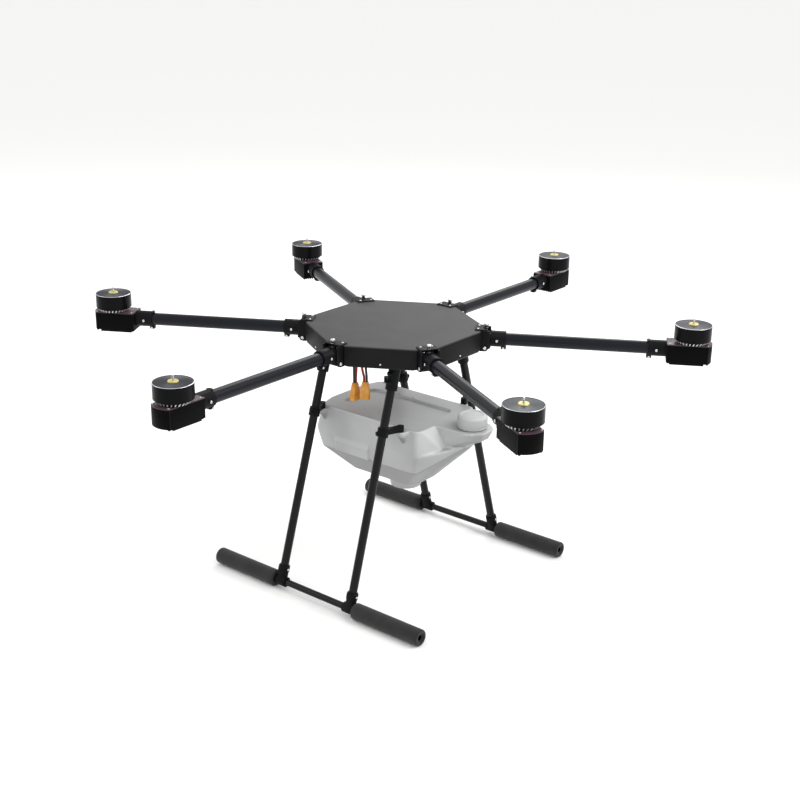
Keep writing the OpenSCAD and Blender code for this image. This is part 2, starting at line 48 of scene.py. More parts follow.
def placeCamera(sizes):
    turn, lift, roll = (math.radians(sizes[k]) for k in ("azimuth", "elevation", "roll"))
    back = Vector((math.sin(turn) * math.cos(lift), -math.cos(turn) * math.cos(lift), math.sin(lift)))
    level = Vector((math.cos(turn), math.sin(turn), 0))
    above = back.cross(level)
    right = level * math.cos(roll) + above * math.sin(roll)
    camera = bpy.data.objects.new("studioCamera", bpy.data.cameras.new("studioCamera"))
    camera.data.lens = sizes["lens"]
    camera.data.sensor_width = 36
    camera.matrix_world = Matrix.Translation(Vector(sizes["target"]) + back * sizes["distance"]) \
        @ Matrix((right, back.cross(right), back)).transposed().to_4x4()
    bpy.context.collection.objects.link(camera)
    bpy.context.scene.camera = camera


placeCamera(shot)


def linearColour(hexCode):
    parts = [int(hexCode[k:k + 2], 16) / 255 for k in (1, 3, 5)]
    return tuple(c / 12.92 if c <= 0.04045 else ((c + 0.055) / 1.055) ** 2.4 for c in parts) + (1.0,)


studio = {"floor": "#fafaf9", "air": "#fafafa", "airStrength": 1.0, "floorSize": 60}
softBoxes = [  # name, place, size, power, what it is for
    ("keyBox", (2.8, 0.9, 3.6), 2.4, 90),  # main light, high on the right
    ("fillBox", (-2.8, -2.2, 2.6), 2.2, 26),  # opens up the left faces
    ("backBox", (-1.4, 3.0, 3.2), 2.2, 50)]  # draws the highlights along the tubes


def lightStudio(sizes, boxes):
    world = bpy.data.worlds.new("studioAir")
    world.use_nodes = True
    sky = world.node_tree.nodes["Background"]
    sky.inputs["Color"].default_value = linearColour(sizes["air"])
    sky.inputs["Strength"].default_value = sizes["airStrength"]
    bpy.context.scene.world = world
    bpy.context.scene.view_settings.view_transform = "Standard"
    for name, place, size, power in boxes:
        lamp = bpy.data.lights.new(name, "AREA")
        lamp.size = size
        lamp.energy = power
        obj = bpy.data.objects.new(name, lamp)
        obj.location = place
        obj.rotation_euler = (Vector(place) - Vector((0, 0, 0.4))).to_track_quat("Z", "Y").to_euler()
        bpy.context.collection.objects.link(obj)
    half = sizes["floorSize"] / 2
    mesh = bpy.data.meshes.new("studioFloor")
    mesh.from_pydata([(-half, -half, 0), (half, -half, 0), (half, half, 0), (-half, half, 0)], [],
                     [(0, 1, 2, 3)])
    floor = bpy.data.objects.new("studioFloor", mesh)
    paint = bpy.data.materials.new("mattPaperFloor")
    paint.use_nodes = True
    paint.node_tree.nodes["Principled BSDF"].inputs["Base Color"].default_value = linearColour(sizes["floor"])
    paint.node_tree.nodes["Principled BSDF"].inputs["Roughness"].default_value = 0.95
    mesh.materials.append(paint)
    bpy.context.collection.objects.link(floor)


lightStudio(studio, softBoxes)
print("camera, light and floor set")

# ---- materials ----


def addNode(tree, kind, settings=None, values=None, links=None):
    node = tree.nodes.new(kind)
    for key, value in (settings or {}).items():
        setattr(node, key, value)
    for key, value in (values or {}).items():
        node.inputs[key].default_value = value
    for key, source in (links or {}).items():
        tree.links.new(source, node.inputs[key])
    return node


def startMaterial(name, values):
    material = bpy.data.materials.new(name)
    material.use_nodes = True
    tree = material.node_tree
    surface = tree.nodes["Principled BSDF"]
    for key, value in values.items():
        surface.inputs[key].default_value = linearColour(value) if isinstance(value, str) else value
    return material, tree, surface


def blendColours(tree, amount, dark, light):
    ramp = addNode(tree, "ShaderNodeValToRGB", links={"Fac": amount})
    ramp.color_ramp.elements[0].color = linearColour(dark)
    ramp.color_ramp.elements[1].color = linearColour(light)
    return ramp.outputs["Color"]


def mapRange(tree, amount, low, high, fromLow=0.0, fromHigh=1.0):
    node = addNode(tree, "ShaderNodeMapRange", values={
        "From Min": fromLow, "From Max": fromHigh, "To Min": low, "To Max": high}, links={"Value": amount})
    return node.outputs["Result"]


def bumpFrom(tree, surface, height, depth, strength=1.0):
    bump = addNode(tree, "ShaderNodeBump", values={"Strength": strength, "Distance": depth},
                   links={"Height": height})
    tree.links.new(bump.outputs["Normal"], surface.inputs["Normal"])


def mathNode(tree, operation, *values):  # values: numbers or sockets, in the node's own order
    node = addNode(tree, "ShaderNodeMath", {"operation": operation})
    for place, value in enumerate(values):
        if isinstance(value, (int, float)):
            node.inputs[place].default_value = value
        else:
            tree.links.new(value, node.inputs[place])
    return node.outputs[0]


def objectPlace(tree):
    return addNode(tree, "ShaderNodeTexCoord").outputs["Object"]


def noiseAt(tree, place, grain, detail=2.0, rough=0.5):  # grain in metres
    node = addNode(tree, "ShaderNodeTexNoise", values={
        "Scale": 1 / grain, "Detail": detail, "Roughness": rough}, links={"Vector": place})
    return node.outputs["Fac"]


def middling(tree, cloud):  # keeps a noise's middle part, so that two colours never meet sharply
    return mapRange(tree, cloud, 0, 1, 0.3, 0.7)


def grainAt(tree, place, grain, feature="SMOOTH_F1"):  # small cells, grain in mm
    values = {"Scale": 1 / (grain * mm)}
    if feature == "SMOOTH_F1":
        values["Smoothness"] = 0.6
    node = addNode(tree, "ShaderNodeTexVoronoi", {"feature": feature}, values, {"Vector": place})
    return node.outputs["Distance"]


def ringsAround(tree, spacing):  # rises and falls with the distance from the axis, spacing in mm
    place = addNode(tree, "ShaderNodeAttribute", {"attribute_name": "place"}).outputs["Vector"]
    flat = addNode(tree, "ShaderNodeVectorMath", {"operation": "MULTIPLY"}, {1: (1, 1, 0)}, {0: place})
    away = addNode(tree, "ShaderNodeVectorMath", {"operation": "LENGTH"}, links={0: flat.outputs[0]})
    return mathNode(tree, "PINGPONG", away.outputs["Value"], spacing / 2)


def colourFrom(tree, surface, amount, dark, light):
    tree.links.new(blendColours(tree, amount, dark, light), surface.inputs["Base Color"])


def roughnessFrom(tree, surface, amount, low, high):
    tree.links.new(mapRange(tree, amount, low, high), surface.inputs["Roughness"])


# carbon fibre, roll-wrapped 2x2 twill under polished epoxy: near black, the twill drawn with blue-grey
# glints painted into its colour along the tows, sharp highlights along the tube
carbonTube = {"tow": 2.2, "dark": "#090a0f", "light": "#20232f", "roughness": 0.28,
              "acrossPaintedGlint": 0.12, "alongPaintedGlint": 0.55, "depth": 0.06}


def makeCarbon(name, sizes, useUv):
    material, tree, surface = startMaterial(name, {
        "Roughness": sizes["roughness"], "Specular IOR Level": 0.2})
    place = addNode(tree, "ShaderNodeTexCoord").outputs["UV" if useUv else "Object"]
    scaled = addNode(tree, "ShaderNodeVectorMath", {"operation": "SCALE"},
                     {"Scale": 1 / (sizes["tow"] * (1 if useUv else mm))}, {0: place}).outputs[0]
    axes = addNode(tree, "ShaderNodeSeparateXYZ", links={0: scaled}).outputs
    steps = mathNode(tree, "ADD", mathNode(tree, "FLOOR", axes[0]), mathNode(tree, "FLOOR", axes[1]))
    over = mathNode(tree, "LESS_THAN", mathNode(tree, "FLOORED_MODULO", steps, 4.0), 1.5)
    across = addNode(tree, "ShaderNodeMix", links={
        "Factor": over, 2: mathNode(tree, "FRACT", axes[0]), 3: mathNode(tree, "FRACT", axes[1])})
    height = mapRange(tree, mathNode(tree, "PINGPONG", across.outputs[0], 0.5), 0, 1, 0, 0.5)
    # painted glint: tows lying one way drawn lighter than the tows across them
    tone = mathNode(tree, "MULTIPLY_ADD", over, sizes["alongPaintedGlint"], sizes["acrossPaintedGlint"])
    colourFrom(tree, surface, mathNode(tree, "MULTIPLY", tone, height), sizes["dark"], sizes["light"])
    bumpFrom(tree, surface, height, sizes["depth"] * mm, 0.35)
    return material


# aluminium, bead-blasted and black anodised: soft dark sheen, fine grain (drawn coarser than the
# blast leaves it, so that it shows); a lighter copy on bevelled edges paints a highlight there
def makeAnodised(name, face, spot, roughness, grain=0.9, shine=0.08):
    material, tree, surface = startMaterial(name, {"Specular IOR Level": shine})
    place = objectPlace(tree)
    cloud = noiseAt(tree, place, 22 * mm, 3.0)
    colourFrom(tree, surface, cloud, face, spot)
    roughnessFrom(tree, surface, cloud, roughness - 0.06, roughness + 0.08)
    bumpFrom(tree, surface, noiseAt(tree, place, grain * mm, 2.0, 0.6), 0.05 * mm, 0.4)
    return material


# injection-moulded nylon, and the board's solder mask: dull, with a fine grain
def makeMoulded(name, face, spot, roughness, grain, depth, specular=0.35, mottle=60):
    material, tree, surface = startMaterial(name, {"Specular IOR Level": specular})
    place = objectPlace(tree)
    cloud = noiseAt(tree, place, mottle * mm, 3.0)
    colourFrom(tree, surface, middling(tree, cloud), face, spot)
    roughnessFrom(tree, surface, cloud, roughness - 0.05, roughness + 0.07)
    bumpFrom(tree, surface, grainAt(tree, place, grain), depth * mm, 0.5)
    return material


def upward(tree, low, high):  # 0 on faces whose normal's height is below low, 1 above high
    normal = addNode(tree, "ShaderNodeTexCoord").outputs["Normal"]
    height = addNode(tree, "ShaderNodeSeparateXYZ", links={0: normal}).outputs["Z"]
    return mapRange(tree, height, 0, 1, low, high)


def mixColours(tree, amount, first, second):  # first and second: sockets or hex colours
    node = addNode(tree, "ShaderNodeMix", {"data_type": "RGBA"}, links={"Factor": amount})
    for place, value in ((6, first), (7, second)):
        if isinstance(value, str):
            node.inputs[place].default_value = linearColour(value)
        else:
            tree.links.new(value, node.inputs[place])
    return node.outputs[2]


# ABS sheet, vacuum formed, leather-like grain outside: dull charcoal, its upward faces painted lighter as
# painted light from above
coverSheet = {"side": "#101010", "sideSpot": "#171717", "top": "#3d3d3d", "paintedLitTopSpot": "#494949",
              "grain": 1.6, "roughness": 0.52, "depth": 0.08}


def makeCoverSheet(name, sizes):
    material, tree, surface = startMaterial(name, {"Specular IOR Level": 0.12})
    place = objectPlace(tree)
    cloud = noiseAt(tree, place, 70 * mm, 4.0, 0.6)
    spread = middling(tree, cloud)
    sides = blendColours(tree, spread, sizes["side"], sizes["sideSpot"])
    top = blendColours(tree, spread, sizes["top"], sizes["paintedLitTopSpot"])
    # painted light: faces turned upward take the lighter top colour, as if lit from above
    tree.links.new(mixColours(tree, upward(tree, 0.25, 0.9), sides, top), surface.inputs["Base Color"])
    roughnessFrom(tree, surface, cloud, sizes["roughness"] - 0.05, sizes["roughness"] + 0.07)
    bumpFrom(tree, surface, grainAt(tree, place, sizes["grain"]), sizes["depth"] * mm, 0.5)
    return material


# high-density polyethylene, rotationally moulded and undyed: milky, light comes through,
# slight orange peel outside, wall a little thicker here and there; upward slopes painted lighter as painted
# light, deck and underside painted darker as painted shade
naturalTank = {"face": "#a5a6a6", "thin": "#b6b7b7", "paintedLitSlope": "#c4c5c5", "top": "#aeafaf",
               "under": "#7b7c7c", "roughness": 0.38, "glow": 0.08, "peel": 5.5, "peelDepth": 0.25}


def makePolythene(name, sizes):
    material, tree, surface = startMaterial(name, {
        "Subsurface Weight": sizes["glow"], "Subsurface Radius": (0.030, 0.030, 0.028),
        "Subsurface Scale": 0.3, "Specular IOR Level": 0.35, "IOR": 1.51})
    place = objectPlace(tree)
    wall = noiseAt(tree, place, 90 * mm, 3.0, 0.45)
    sides = blendColours(tree, middling(tree, wall), sizes["face"], sizes["thin"])
    # painted light: faces tilted a little upward drawn lighter
    rounded = mixColours(tree, upward(tree, 0.12, 0.5), sides, sizes["paintedLitSlope"])
    # painted shade: the flat deck drawn darker than the slopes, standing for the hub's shadow
    above = mixColours(tree, upward(tree, 0.7, 0.98), rounded, sizes["top"])
    # painted shade: downward faces drawn darker
    tree.links.new(mixColours(tree, upward(tree, -0.1, -0.55), above, sizes["under"]),
                   surface.inputs["Base Color"])
    roughnessFrom(tree, surface, wall, sizes["roughness"] - 0.05, sizes["roughness"] + 0.09)
    bumpFrom(tree, surface, noiseAt(tree, place, sizes["peel"] * mm, 2.0), sizes["peelDepth"] * mm, 0.35)
    return material


# closed-cell rubber foam, extruded and ground: no shine, small pores
skidFoam = {"face": "#1c1c1e", "spot": "#282829", "pore": 1.4, "roughness": 0.88}


def makeFoam(name, sizes):
    material, tree, surface = startMaterial(name, {
        "Roughness": sizes["roughness"], "Specular IOR Level": 0.25, "Sheen Weight": 0.12,
        "Sheen Roughness": 0.6})
    place = objectPlace(tree)
    rub = noiseAt(tree, place, 35 * mm, 4.0)
    colourFrom(tree, surface, middling(tree, rub), sizes["face"], sizes["spot"])
    bumpFrom(tree, surface, grainAt(tree, place, sizes["pore"], "F1"), 0.3 * mm, 0.55)
    return material


# metals: turned, rolled or plated
def makeMetal(name, colour, roughness, spacing, ringed=False, metallic=1.0):  # spacing of tool marks, mm
    material, tree, surface = startMaterial(name, {"Metallic": metallic, "Base Color": colour})
    place = objectPlace(tree)
    roughnessFrom(tree, surface, noiseAt(tree, place, 3 * mm, 3.0), roughness - 0.06, roughness + 0.1)
    if ringed:
        bumpFrom(tree, surface, ringsAround(tree, spacing), 0.02 * mm, 0.3)
    else:
        bumpFrom(tree, surface, noiseAt(tree, place, spacing * mm, 3.0, 0.6), 0.03 * mm, 0.3)
    return material


# motor end disc: aluminium, lathe-turned and black anodised, so each tool ring throws
# the light across it and a pale fan shows over the blue-black
bellDisc = {"dark": "#0a0c15", "light": "#151928", "ring": 1.1, "roughness": 0.34}


def makeTurnedDisc(name, sizes):
    material, tree, surface = startMaterial(name, {"Metallic": 0.55, "Anisotropic": 0.85})
    tone = mapRange(tree, ringsAround(tree, sizes["ring"]), 0, 1, 0, sizes["ring"] / 2)
    colourFrom(tree, surface, tone, sizes["dark"], sizes["light"])
    around = addNode(tree, "ShaderNodeAttribute", {"attribute_name": "around"}).outputs["Vector"]
    turned = addNode(tree, "ShaderNodeVectorTransform", {
        "vector_type": "VECTOR", "convert_from": "OBJECT", "convert_to": "WORLD"}, links={0: around})
    tree.links.new(turned.outputs[0], surface.inputs["Tangent"])
    roughnessFrom(tree, surface, tone, sizes["roughness"] - 0.04, sizes["roughness"] + 0.06)
    return material


# copper wire, enamelled and wound in layers: amber with dark gaps
def makeWinding(name, wire):
    material, tree, surface = startMaterial(name, {
        "Metallic": 0.85, "Roughness": 0.35, "Coat Weight": 0.5, "Coat Roughness": 0.15})
    bands = addNode(tree, "ShaderNodeTexWave", {"bands_direction": "Z"},
                    {"Scale": 1 / (wire * mm) / math.tau, "Distortion": 0.6, "Detail": 1.0},
                    {"Vector": objectPlace(tree)})
    colourFrom(tree, surface, bands.outputs["Fac"], "#4a2412", "#b5703a")
    bumpFrom(tree, surface, bands.outputs["Fac"], 0.2 * mm, 0.7)
    return material


# silicone rubber lead, extruded, dusted with talc: soft matt with faint rubbed patches
def makeSilicone(name, face, spot):
    material, tree, surface = startMaterial(name, {
        "Roughness": 0.48, "Specular IOR Level": 0.4, "Sheen Weight": 0.1, "Sheen Roughness": 0.5})
    rub = noiseAt(tree, objectPlace(tree), 6 * mm, 3.0)
    colourFrom(tree, surface, rub, face, spot)
    bumpFrom(tree, surface, rub, 0.1 * mm, 0.3)
    return material


finish = {
    "carbonTube": makeCarbon("carbonFibreRolledTube", carbonTube, True),
    "legTube": makeCarbon("carbonFibreLegTube", {**carbonTube, "dark": "#070708", "light": "#17171a"},
                          True),
    "carbonPlate": makeCarbon("carbonFibreMilledPlate", {**carbonTube, "roughness": 0.34}, False),
    "anodised": makeAnodised("aluminiumBlackAnodised", "#0d0d0f", "#151517", 0.42),
    # lighter copy for bevel faces: a painted highlight along the edges
    "anodisedPaintedEdgeHighlight": makeAnodised("aluminiumAnodisedPaintedEdgeHighlight", "#1d1e21", "#2c2d31", 0.36, 0.9, 0.25),
    "podCase": makeAnodised("aluminiumPodCaseAnodised", "#050506", "#0a0a0b", 0.46, 0.9, 0.04),
    # lighter copy for the pod's bevel faces: a painted highlight along the edges
    "podPaintedEdgeHighlight": makeAnodised("aluminiumPodPaintedEdgeHighlight", "#151517", "#1e1e21", 0.4, 0.9, 0.15),
    # pod lid: faded purple anodising tint, plus a painted sheen that draws it much lighter than the case
    "podLid": makeAnodised("aluminiumPodLidFadedAnodisedPaintedSheen", "#43303a", "#573e4a", 0.33, 0.9, 0.3),
    "cover": makeCoverSheet("absCoverVacuumFormed", coverSheet),
    "nylon": makeMoulded("glassFilledNylonMoulded", "#0c0d0e", "#141517", 0.47, 1.1, 0.06, 0.08),
    # lighter copy for bevel faces of nylon parts: a painted highlight along the edges
    "nylonPaintedEdgeHighlight": makeMoulded("glassFilledNylonPaintedEdgeHighlight", "#1d1e21", "#2a2b2e", 0.4, 1.1, 0.03, 0.2),
    "tank": makePolythene("polytheneRotoMouldedTank", naturalTank),
    # the cap takes the tank's painted light and shade by facing, its top drawn lighter
    "cap": makePolythene("polypropyleneInjectedCap", {**naturalTank, "face": "#b2b3b3", "thin": "#c2c3c3",
                                                      "top": "#bfc0c0"}),
    "foam": makeFoam("rubberFoamExtrudedSleeve", skidFoam),
    "steel": makeMetal("stainlessSteelRolledScrew", "#c9cacc", 0.24, 0.8),
    "rim": makeMetal("aluminiumDiamondCutRim", "#d6d9df", 0.16, 0.6),
    "brass": makeMetal("brassTurnedBoss", "#d0c17a", 0.38, 0.9, True, 0.5),
    "darkSteel": makeMetal("steelBlackOxideBolt", "#3b3c40", 0.38, 0.8),
    "gold": makeMetal("goldPlatedContact", "#d9b25a", 0.22, 0.8),
    "disc": makeTurnedDisc("aluminiumTurnedBellDisc", bellDisc),
    "bell": makeAnodised("aluminiumBellAnodised", "#060607", "#0b0b0d", 0.2, 0.9, 0.08),
    "tooth": makeMetal("aluminiumVentBlade", "#d3d4d8", 0.36, 0.5, False, 0.35),
    "winding": makeWinding("copperEnamelledWinding", 1.1),
    "leadRed": makeSilicone("siliconeRubberLeadRed", "#8d1712", "#b3231b"),
    "leadBlack": makeSilicone("siliconeRubberLeadBlack", "#121213", "#1e1e20"),
    "plug": makeMoulded("nylonMouldedPlugAmber", "#e2952f", "#f3b45c", 0.42, 1.3, 0.05, 0.3, 14),
    "board": makeMoulded("epoxyGlassBoardSolderMask", "#12361f", "#1c4c2b", 0.3, 0.9, 0.02, 0.5, 25),
}
print("materials made:", len(finish))

# ---- making pieces ----


def showMesh(name, mesh):
    obj = bpy.data.objects.new(name, mesh)
    bpy.context.collection.objects.link(obj)
    return obj


def bakePiece(obj):  # what the modifiers give, as a plain mesh at the origin
    bpy.context.view_layer.update()
    graph = bpy.context.evaluated_depsgraph_get()
    mesh = bpy.data.meshes.new_from_object(obj.evaluated_get(graph), depsgraph=graph)
    obj.modifiers.clear()
    old, obj.data = obj.data, mesh
    if old.users == 0:
        bpy.data.meshes.remove(old)
    return obj


def smoothFaces(mesh, angle=32):
    mesh.shade_smooth()
    mesh.set_sharp_from_angle(angle=math.radians(angle))


def softened(obj, width, segments=2, angle=30, edgeSlot=-1):  # width of the edge rounding in mm
    bevel = obj.modifiers.new("edges", "BEVEL")
    bevel.width = width * mm
    bevel.segments = segments
    bevel.limit_method = "ANGLE"
    bevel.angle_limit = math.radians(angle)
    bevel.miter_outer = "MITER_ARC"
    # bevel faces take the edge slot's lighter material, a painted highlight along the edges
    bevel.material = edgeSlot
    bakePiece(obj)
    smoothFaces(obj.data, 38)
    return obj


def fromSolid(name, node, width, face, edge=None, segments=2):  # a CAD solid with rounded edges
    work = bmesh.new()
    work.from_mesh(nodes[node].data)
    bmesh.ops.remove_doubles(work, verts=work.verts, dist=0.00001)
    bmesh.ops.dissolve_limit(work, angle_limit=math.radians(1.0), verts=work.verts, edges=work.edges)
    for polygon in work.faces:
        polygon.material_index = 0
    mesh = meshFrom(work, name, [face] + ([edge] if edge else []))
    return softened(showMesh(name, mesh), width, segments, 30, 1 if edge else -1)


def carve(obj, cutter):  # takes the cutter out of the piece, and removes the cutter
    cut = obj.modifiers.new("cut", "BOOLEAN")
    cut.object = cutter
    cut.operation = "DIFFERENCE"
    cut.solver = "EXACT"
    bakePiece(obj)
    bpy.data.objects.remove(cutter)


def finishPiece(obj, body, *stoodFor):
    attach(obj, body)
    if stoodFor:
        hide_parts(*stoodFor)
    return obj


def addPiece(name, mesh, body, *stoodFor):
    return finishPiece(showMesh(name, mesh), body, *stoodFor)


def solidPiece(name, node, width, face, edge=None):
    return finishPiece(fromSolid(name, node, width, face, edge), "frame", node)


def setFaces(mesh, slots):  # slots: materials, in the order of the face indices
    kept = [face.material_index for face in mesh.polygons]
    mesh.materials.clear()
    for key in slots:
        mesh.materials.append(finish[key])
    mesh.polygons.foreach_set("material_index", kept)


def meshFrom(work, name, slots):  # closes the work and gives its mesh
    mesh = bpy.data.meshes.new(name)
    work.to_mesh(mesh)
    work.free()
    setFaces(mesh, slots)
    return mesh


def lathe(name, profile, steps, slots, picks=None, closed=True):
    # profile: (radius, height) in mm round Z; picks: material index for each stretch of it
    work = bmesh.new()
    uvs = work.loops.layers.uv.new("UVMap")
    rings = []
    for radius, height in profile:
        if radius < 1e-6:
            rings.append([work.verts.new((0, 0, height))])
        else:
            rings.append([work.verts.new((radius * math.cos(math.tau * k / steps),
                                          radius * math.sin(math.tau * k / steps), height))
                          for k in range(steps)])
    run = [0.0]
    for a, b in zip(profile, profile[1:] + profile[:1]):
        run.append(run[-1] + math.hypot(b[0] - a[0], b[1] - a[1]))
    count = len(profile) if closed else len(profile) - 1
    for n in range(count):
        low, high = rings[n], rings[(n + 1) % len(rings)]
        if len(low) == 1 and len(high) == 1:
            continue
        girth = math.tau * max(profile[n][0], profile[(n + 1) % len(profile)][0])
        for k in range(steps):
            j = (k + 1) % steps
            corners = [(low[k % len(low)], n, k), (low[j % len(low)], n, k + 1),
                       (high[j % len(high)], n + 1, k + 1), (high[k % len(high)], n + 1, k)]
            seen, loop = set(), []
            for corner in corners:
                if corner[0] not in seen:
                    seen.add(corner[0])
                    loop.append(corner)
            face = work.faces.new([corner[0] for corner in loop])
            face.material_index = picks[n] if picks else 0
            for link, corner in zip(face.loops, loop):
                link[uvs].uv = (run[corner[1]], girth * corner[2] / steps)
    bmesh.ops.recalc_face_normals(work, faces=work.faces)
    return meshFrom(work, name, slots)


def loft(name, rings, slots):  # rings of points, each with as many, skinned in order and closed
    work = bmesh.new()
    rows = [[work.verts.new(point) for point in ring] for ring in rings]
    work.faces.new(rows[0][::-1])
    work.faces.new(rows[-1])
    for low, high in zip(rows, rows[1:]):
        for k in range(len(low)):
            j = (k + 1) % len(low)
            work.faces.new((low[k], low[j], high[j], high[k]))
    return meshFrom(work, name, slots)


def prism(name, outline, low, high, slots):  # outline in mm, anticlockwise
    return loft(name, [[(x, y, z) for x, y in outline] for z in (low, high)], slots)


def oblong(x0, x1, y0, y1):  # a rectangle's outline
    return [(x0, y0), (x1, y0), (x1, y1), (x0, y1)]


def circle(radius, steps):
    return [(radius * math.cos(math.tau * k / steps), radius * math.sin(math.tau * k / steps))
            for k in range(steps)]


def rod(name, radius, low, high, bevel, steps, key):  # a round bar up Z with bevelled ends
    return lathe(name, [(0, low), (radius - bevel, low), (radius, low + bevel), (radius, high - bevel),
                        (radius - bevel, high), (0, high)], steps, [key], closed=False)


def moved(mesh, matrix):  # a copy of the mesh, put in place
    copy = mesh.copy()
    copy.transform(matrix)
    if matrix.determinant() < 0:
        copy.flip_normals()
    copy.update()
    return copy


def joined(name, meshes, slots):  # every mesh brings its own materials; slots gives the final order
    order = {finish[key].name: n for n, key in enumerate(slots)}
    work = bmesh.new()
    for mesh in meshes:
        start = len(work.faces)
        work.from_mesh(mesh)
        work.faces.ensure_lookup_table()
        for face in work.faces[start:]:
            used = mesh.materials[min(face.material_index, len(mesh.materials) - 1)]
            face.material_index = order[used.name]
    return meshFrom(work, name, slots)


def scaledMesh(mesh, factor=mm):
    mesh.transform(Matrix.Scale(factor, 4))
    return mesh


def shifted(mesh, x=0.0, y=0.0, z=0.0):
    return moved(mesh, Matrix.Translation((x, y, z)))


def armTurn(i):
    return Matrix.Rotation(math.radians(30 + 60 * (i - 1)), 4, "Z")


def onEachArm(*kinds):  # kinds: piece name, mesh along +X in metres, body, node; each gets the arm's number
    for i in range(1, armCount + 1):
        for name, mesh, body, node in kinds:
            addPiece(name + str(i), moved(mesh, armTurn(i)), "%s_%d" % (body, i), "%s_%d" % (node, i))


def alongX(x, y=0.0, z=0.0):  # lays a Z-up shape along +X from that point
    return Matrix.Translation((x, y, z)) @ Matrix.Rotation(math.radians(90), 4, "Y")


def alongY(x, y=0.0, z=0.0, side=-1):  # lays it along Y, towards +Y where side is 1
    return Matrix.Translation((x, y, z)) @ Matrix.Rotation(math.radians(-90 * side), 4, "X")


def tubeBetween(start, end, radius, wall, steps, key, lip=0.3):  # lip: rounding of the cut ends
    span = (end - start).length
    mesh = lathe("tube", [(radius - wall, 0), (radius - lip, 0), (radius, lip), (radius, span - lip),
                          (radius - lip, span), (radius - wall, span)], steps, [key])
    smoothFaces(mesh)
    turn = Vector((0, 0, 1)).rotation_difference((end - start).normalized()).to_matrix().to_4x4()
    return moved(mesh, Matrix.Translation(start) @ turn)


def storeAround(mesh, centre):  # place from an axis, and the direction round it, for turned finishes
    for name in ("place", "around"):
        mesh.attributes.new(name, "FLOAT_VECTOR", "POINT")
    place, around = mesh.attributes["place"], mesh.attributes["around"]
    for k, vertex in enumerate(mesh.vertices):
        away = vertex.co - Vector(centre)
        place.data[k].vector = away
        away.z = 0
        near = away.length <= 0.01
        around.data[k].vector = (0, 1, 0) if near else Vector((0, 0, 1)).cross(away).normalized()


# ---- geometry node trees ----


def startTree(name, sockets):
    tree = bpy.data.node_groups.new(name, "GeometryNodeTree")
    tree.interface.new_socket("Geometry", in_out="INPUT", socket_type="NodeSocketGeometry")
    tree.interface.new_socket("Geometry", in_out="OUTPUT", socket_type="NodeSocketGeometry")
    for label, kind, start in sockets:
        socket = tree.interface.new_socket(label, in_out="INPUT", socket_type="NodeSocket" + kind)
        if start is not None:
            socket.default_value = start
    return tree, addNode(tree, "NodeGroupInput").outputs


def endTree(tree, geometry, material):
    real = addNode(tree, "GeometryNodeRealizeInstances", links={"Geometry": geometry})
    paint = addNode(tree, "GeometryNodeSetMaterial", links={
        "Geometry": real.outputs[0], "Material": material})
    addNode(tree, "NodeGroupOutput", links={0: paint.outputs[0]})
    return tree


def growPiece(name, tree, values, base=None):
    obj = showMesh(name, base or bpy.data.meshes.new(name))
    grow = obj.modifiers.new("grow", "NODES")
    grow.node_group = tree
    for socket in tree.interface.items_tree:
        if socket.item_type == "SOCKET" and socket.in_out == "INPUT" and socket.name in values:
            grow[socket.identifier] = values[socket.name]
    bakePiece(obj)
    return obj


def grownMesh(name, tree, values, base=None):
    obj = growPiece(name, tree, values, base)
    mesh = obj.data
    bpy.data.objects.remove(obj)
    return mesh


def repeatedMesh(name, tree, part, values):  # grown from a part that is then removed
    source = showMesh(name + "Part", part)
    mesh = grownMesh(name, tree, {**values, "Part": source})
    bpy.data.objects.remove(source)
    return mesh


def ringTree():  # a small part repeated round the Z axis
    tree, given = startTree("partsInARing", [
        ("Part", "Object", None), ("Count", "Int", 24), ("Radius", "Float", 40.0),
        ("Height", "Float", 0.0), ("Material", "Material", None)])
    ring = addNode(tree, "GeometryNodeMeshCircle", links={
        "Vertices": given["Count"], "Radius": given["Radius"]})
    lift = addNode(tree, "ShaderNodeCombineXYZ", links={"Z": given["Height"]})
    lifted = addNode(tree, "GeometryNodeTransform", links={
        "Geometry": ring.outputs["Mesh"], "Translation": lift.outputs[0]})
    index = addNode(tree, "GeometryNodeInputIndex")
    share = mathNode(tree, "DIVIDE", index.outputs[0], given["Count"])
    turn = addNode(tree, "ShaderNodeCombineXYZ", links={"Z": mathNode(tree, "MULTIPLY", share, math.tau)})
    part = addNode(tree, "GeometryNodeObjectInfo", links={"Object": given["Part"]})
    copies = addNode(tree, "GeometryNodeInstanceOnPoints", links={
        "Points": lifted.outputs[0], "Instance": part.outputs["Geometry"], "Rotation": turn.outputs[0]})
    return endTree(tree, copies.outputs[0], given["Material"])


def finTree():  # a row of thin upright fins
    tree, given = startTree("finRow", [
        ("Count", "Int", 9), ("Pitch", "Float", 6.0), ("Length", "Float", 80.0),
        ("Thickness", "Float", 1.8), ("Depth", "Float", 5.0), ("Material", "Material", None)])
    size = addNode(tree, "ShaderNodeCombineXYZ", links={
        "X": given["Length"], "Y": given["Thickness"], "Z": given["Depth"]})
    fin = addNode(tree, "GeometryNodeMeshCube", links={"Size": size.outputs[0]})
    span = mathNode(tree, "MULTIPLY", mathNode(tree, "SUBTRACT", given["Count"], 1.0), given["Pitch"])
    first = addNode(tree, "ShaderNodeCombineXYZ", links={"Y": mathNode(tree, "MULTIPLY", span, -0.5)})
    step = addNode(tree, "ShaderNodeCombineXYZ", links={"Y": given["Pitch"]})
    row = addNode(tree, "GeometryNodeMeshLine", links={
        "Count": given["Count"], "Start Location": first.outputs[0], "Offset": step.outputs[0]})
    copies = addNode(tree, "GeometryNodeInstanceOnPoints", links={
        "Points": row.outputs[0], "Instance": fin.outputs["Mesh"]})
    return endTree(tree, copies.outputs[0], given["Material"])


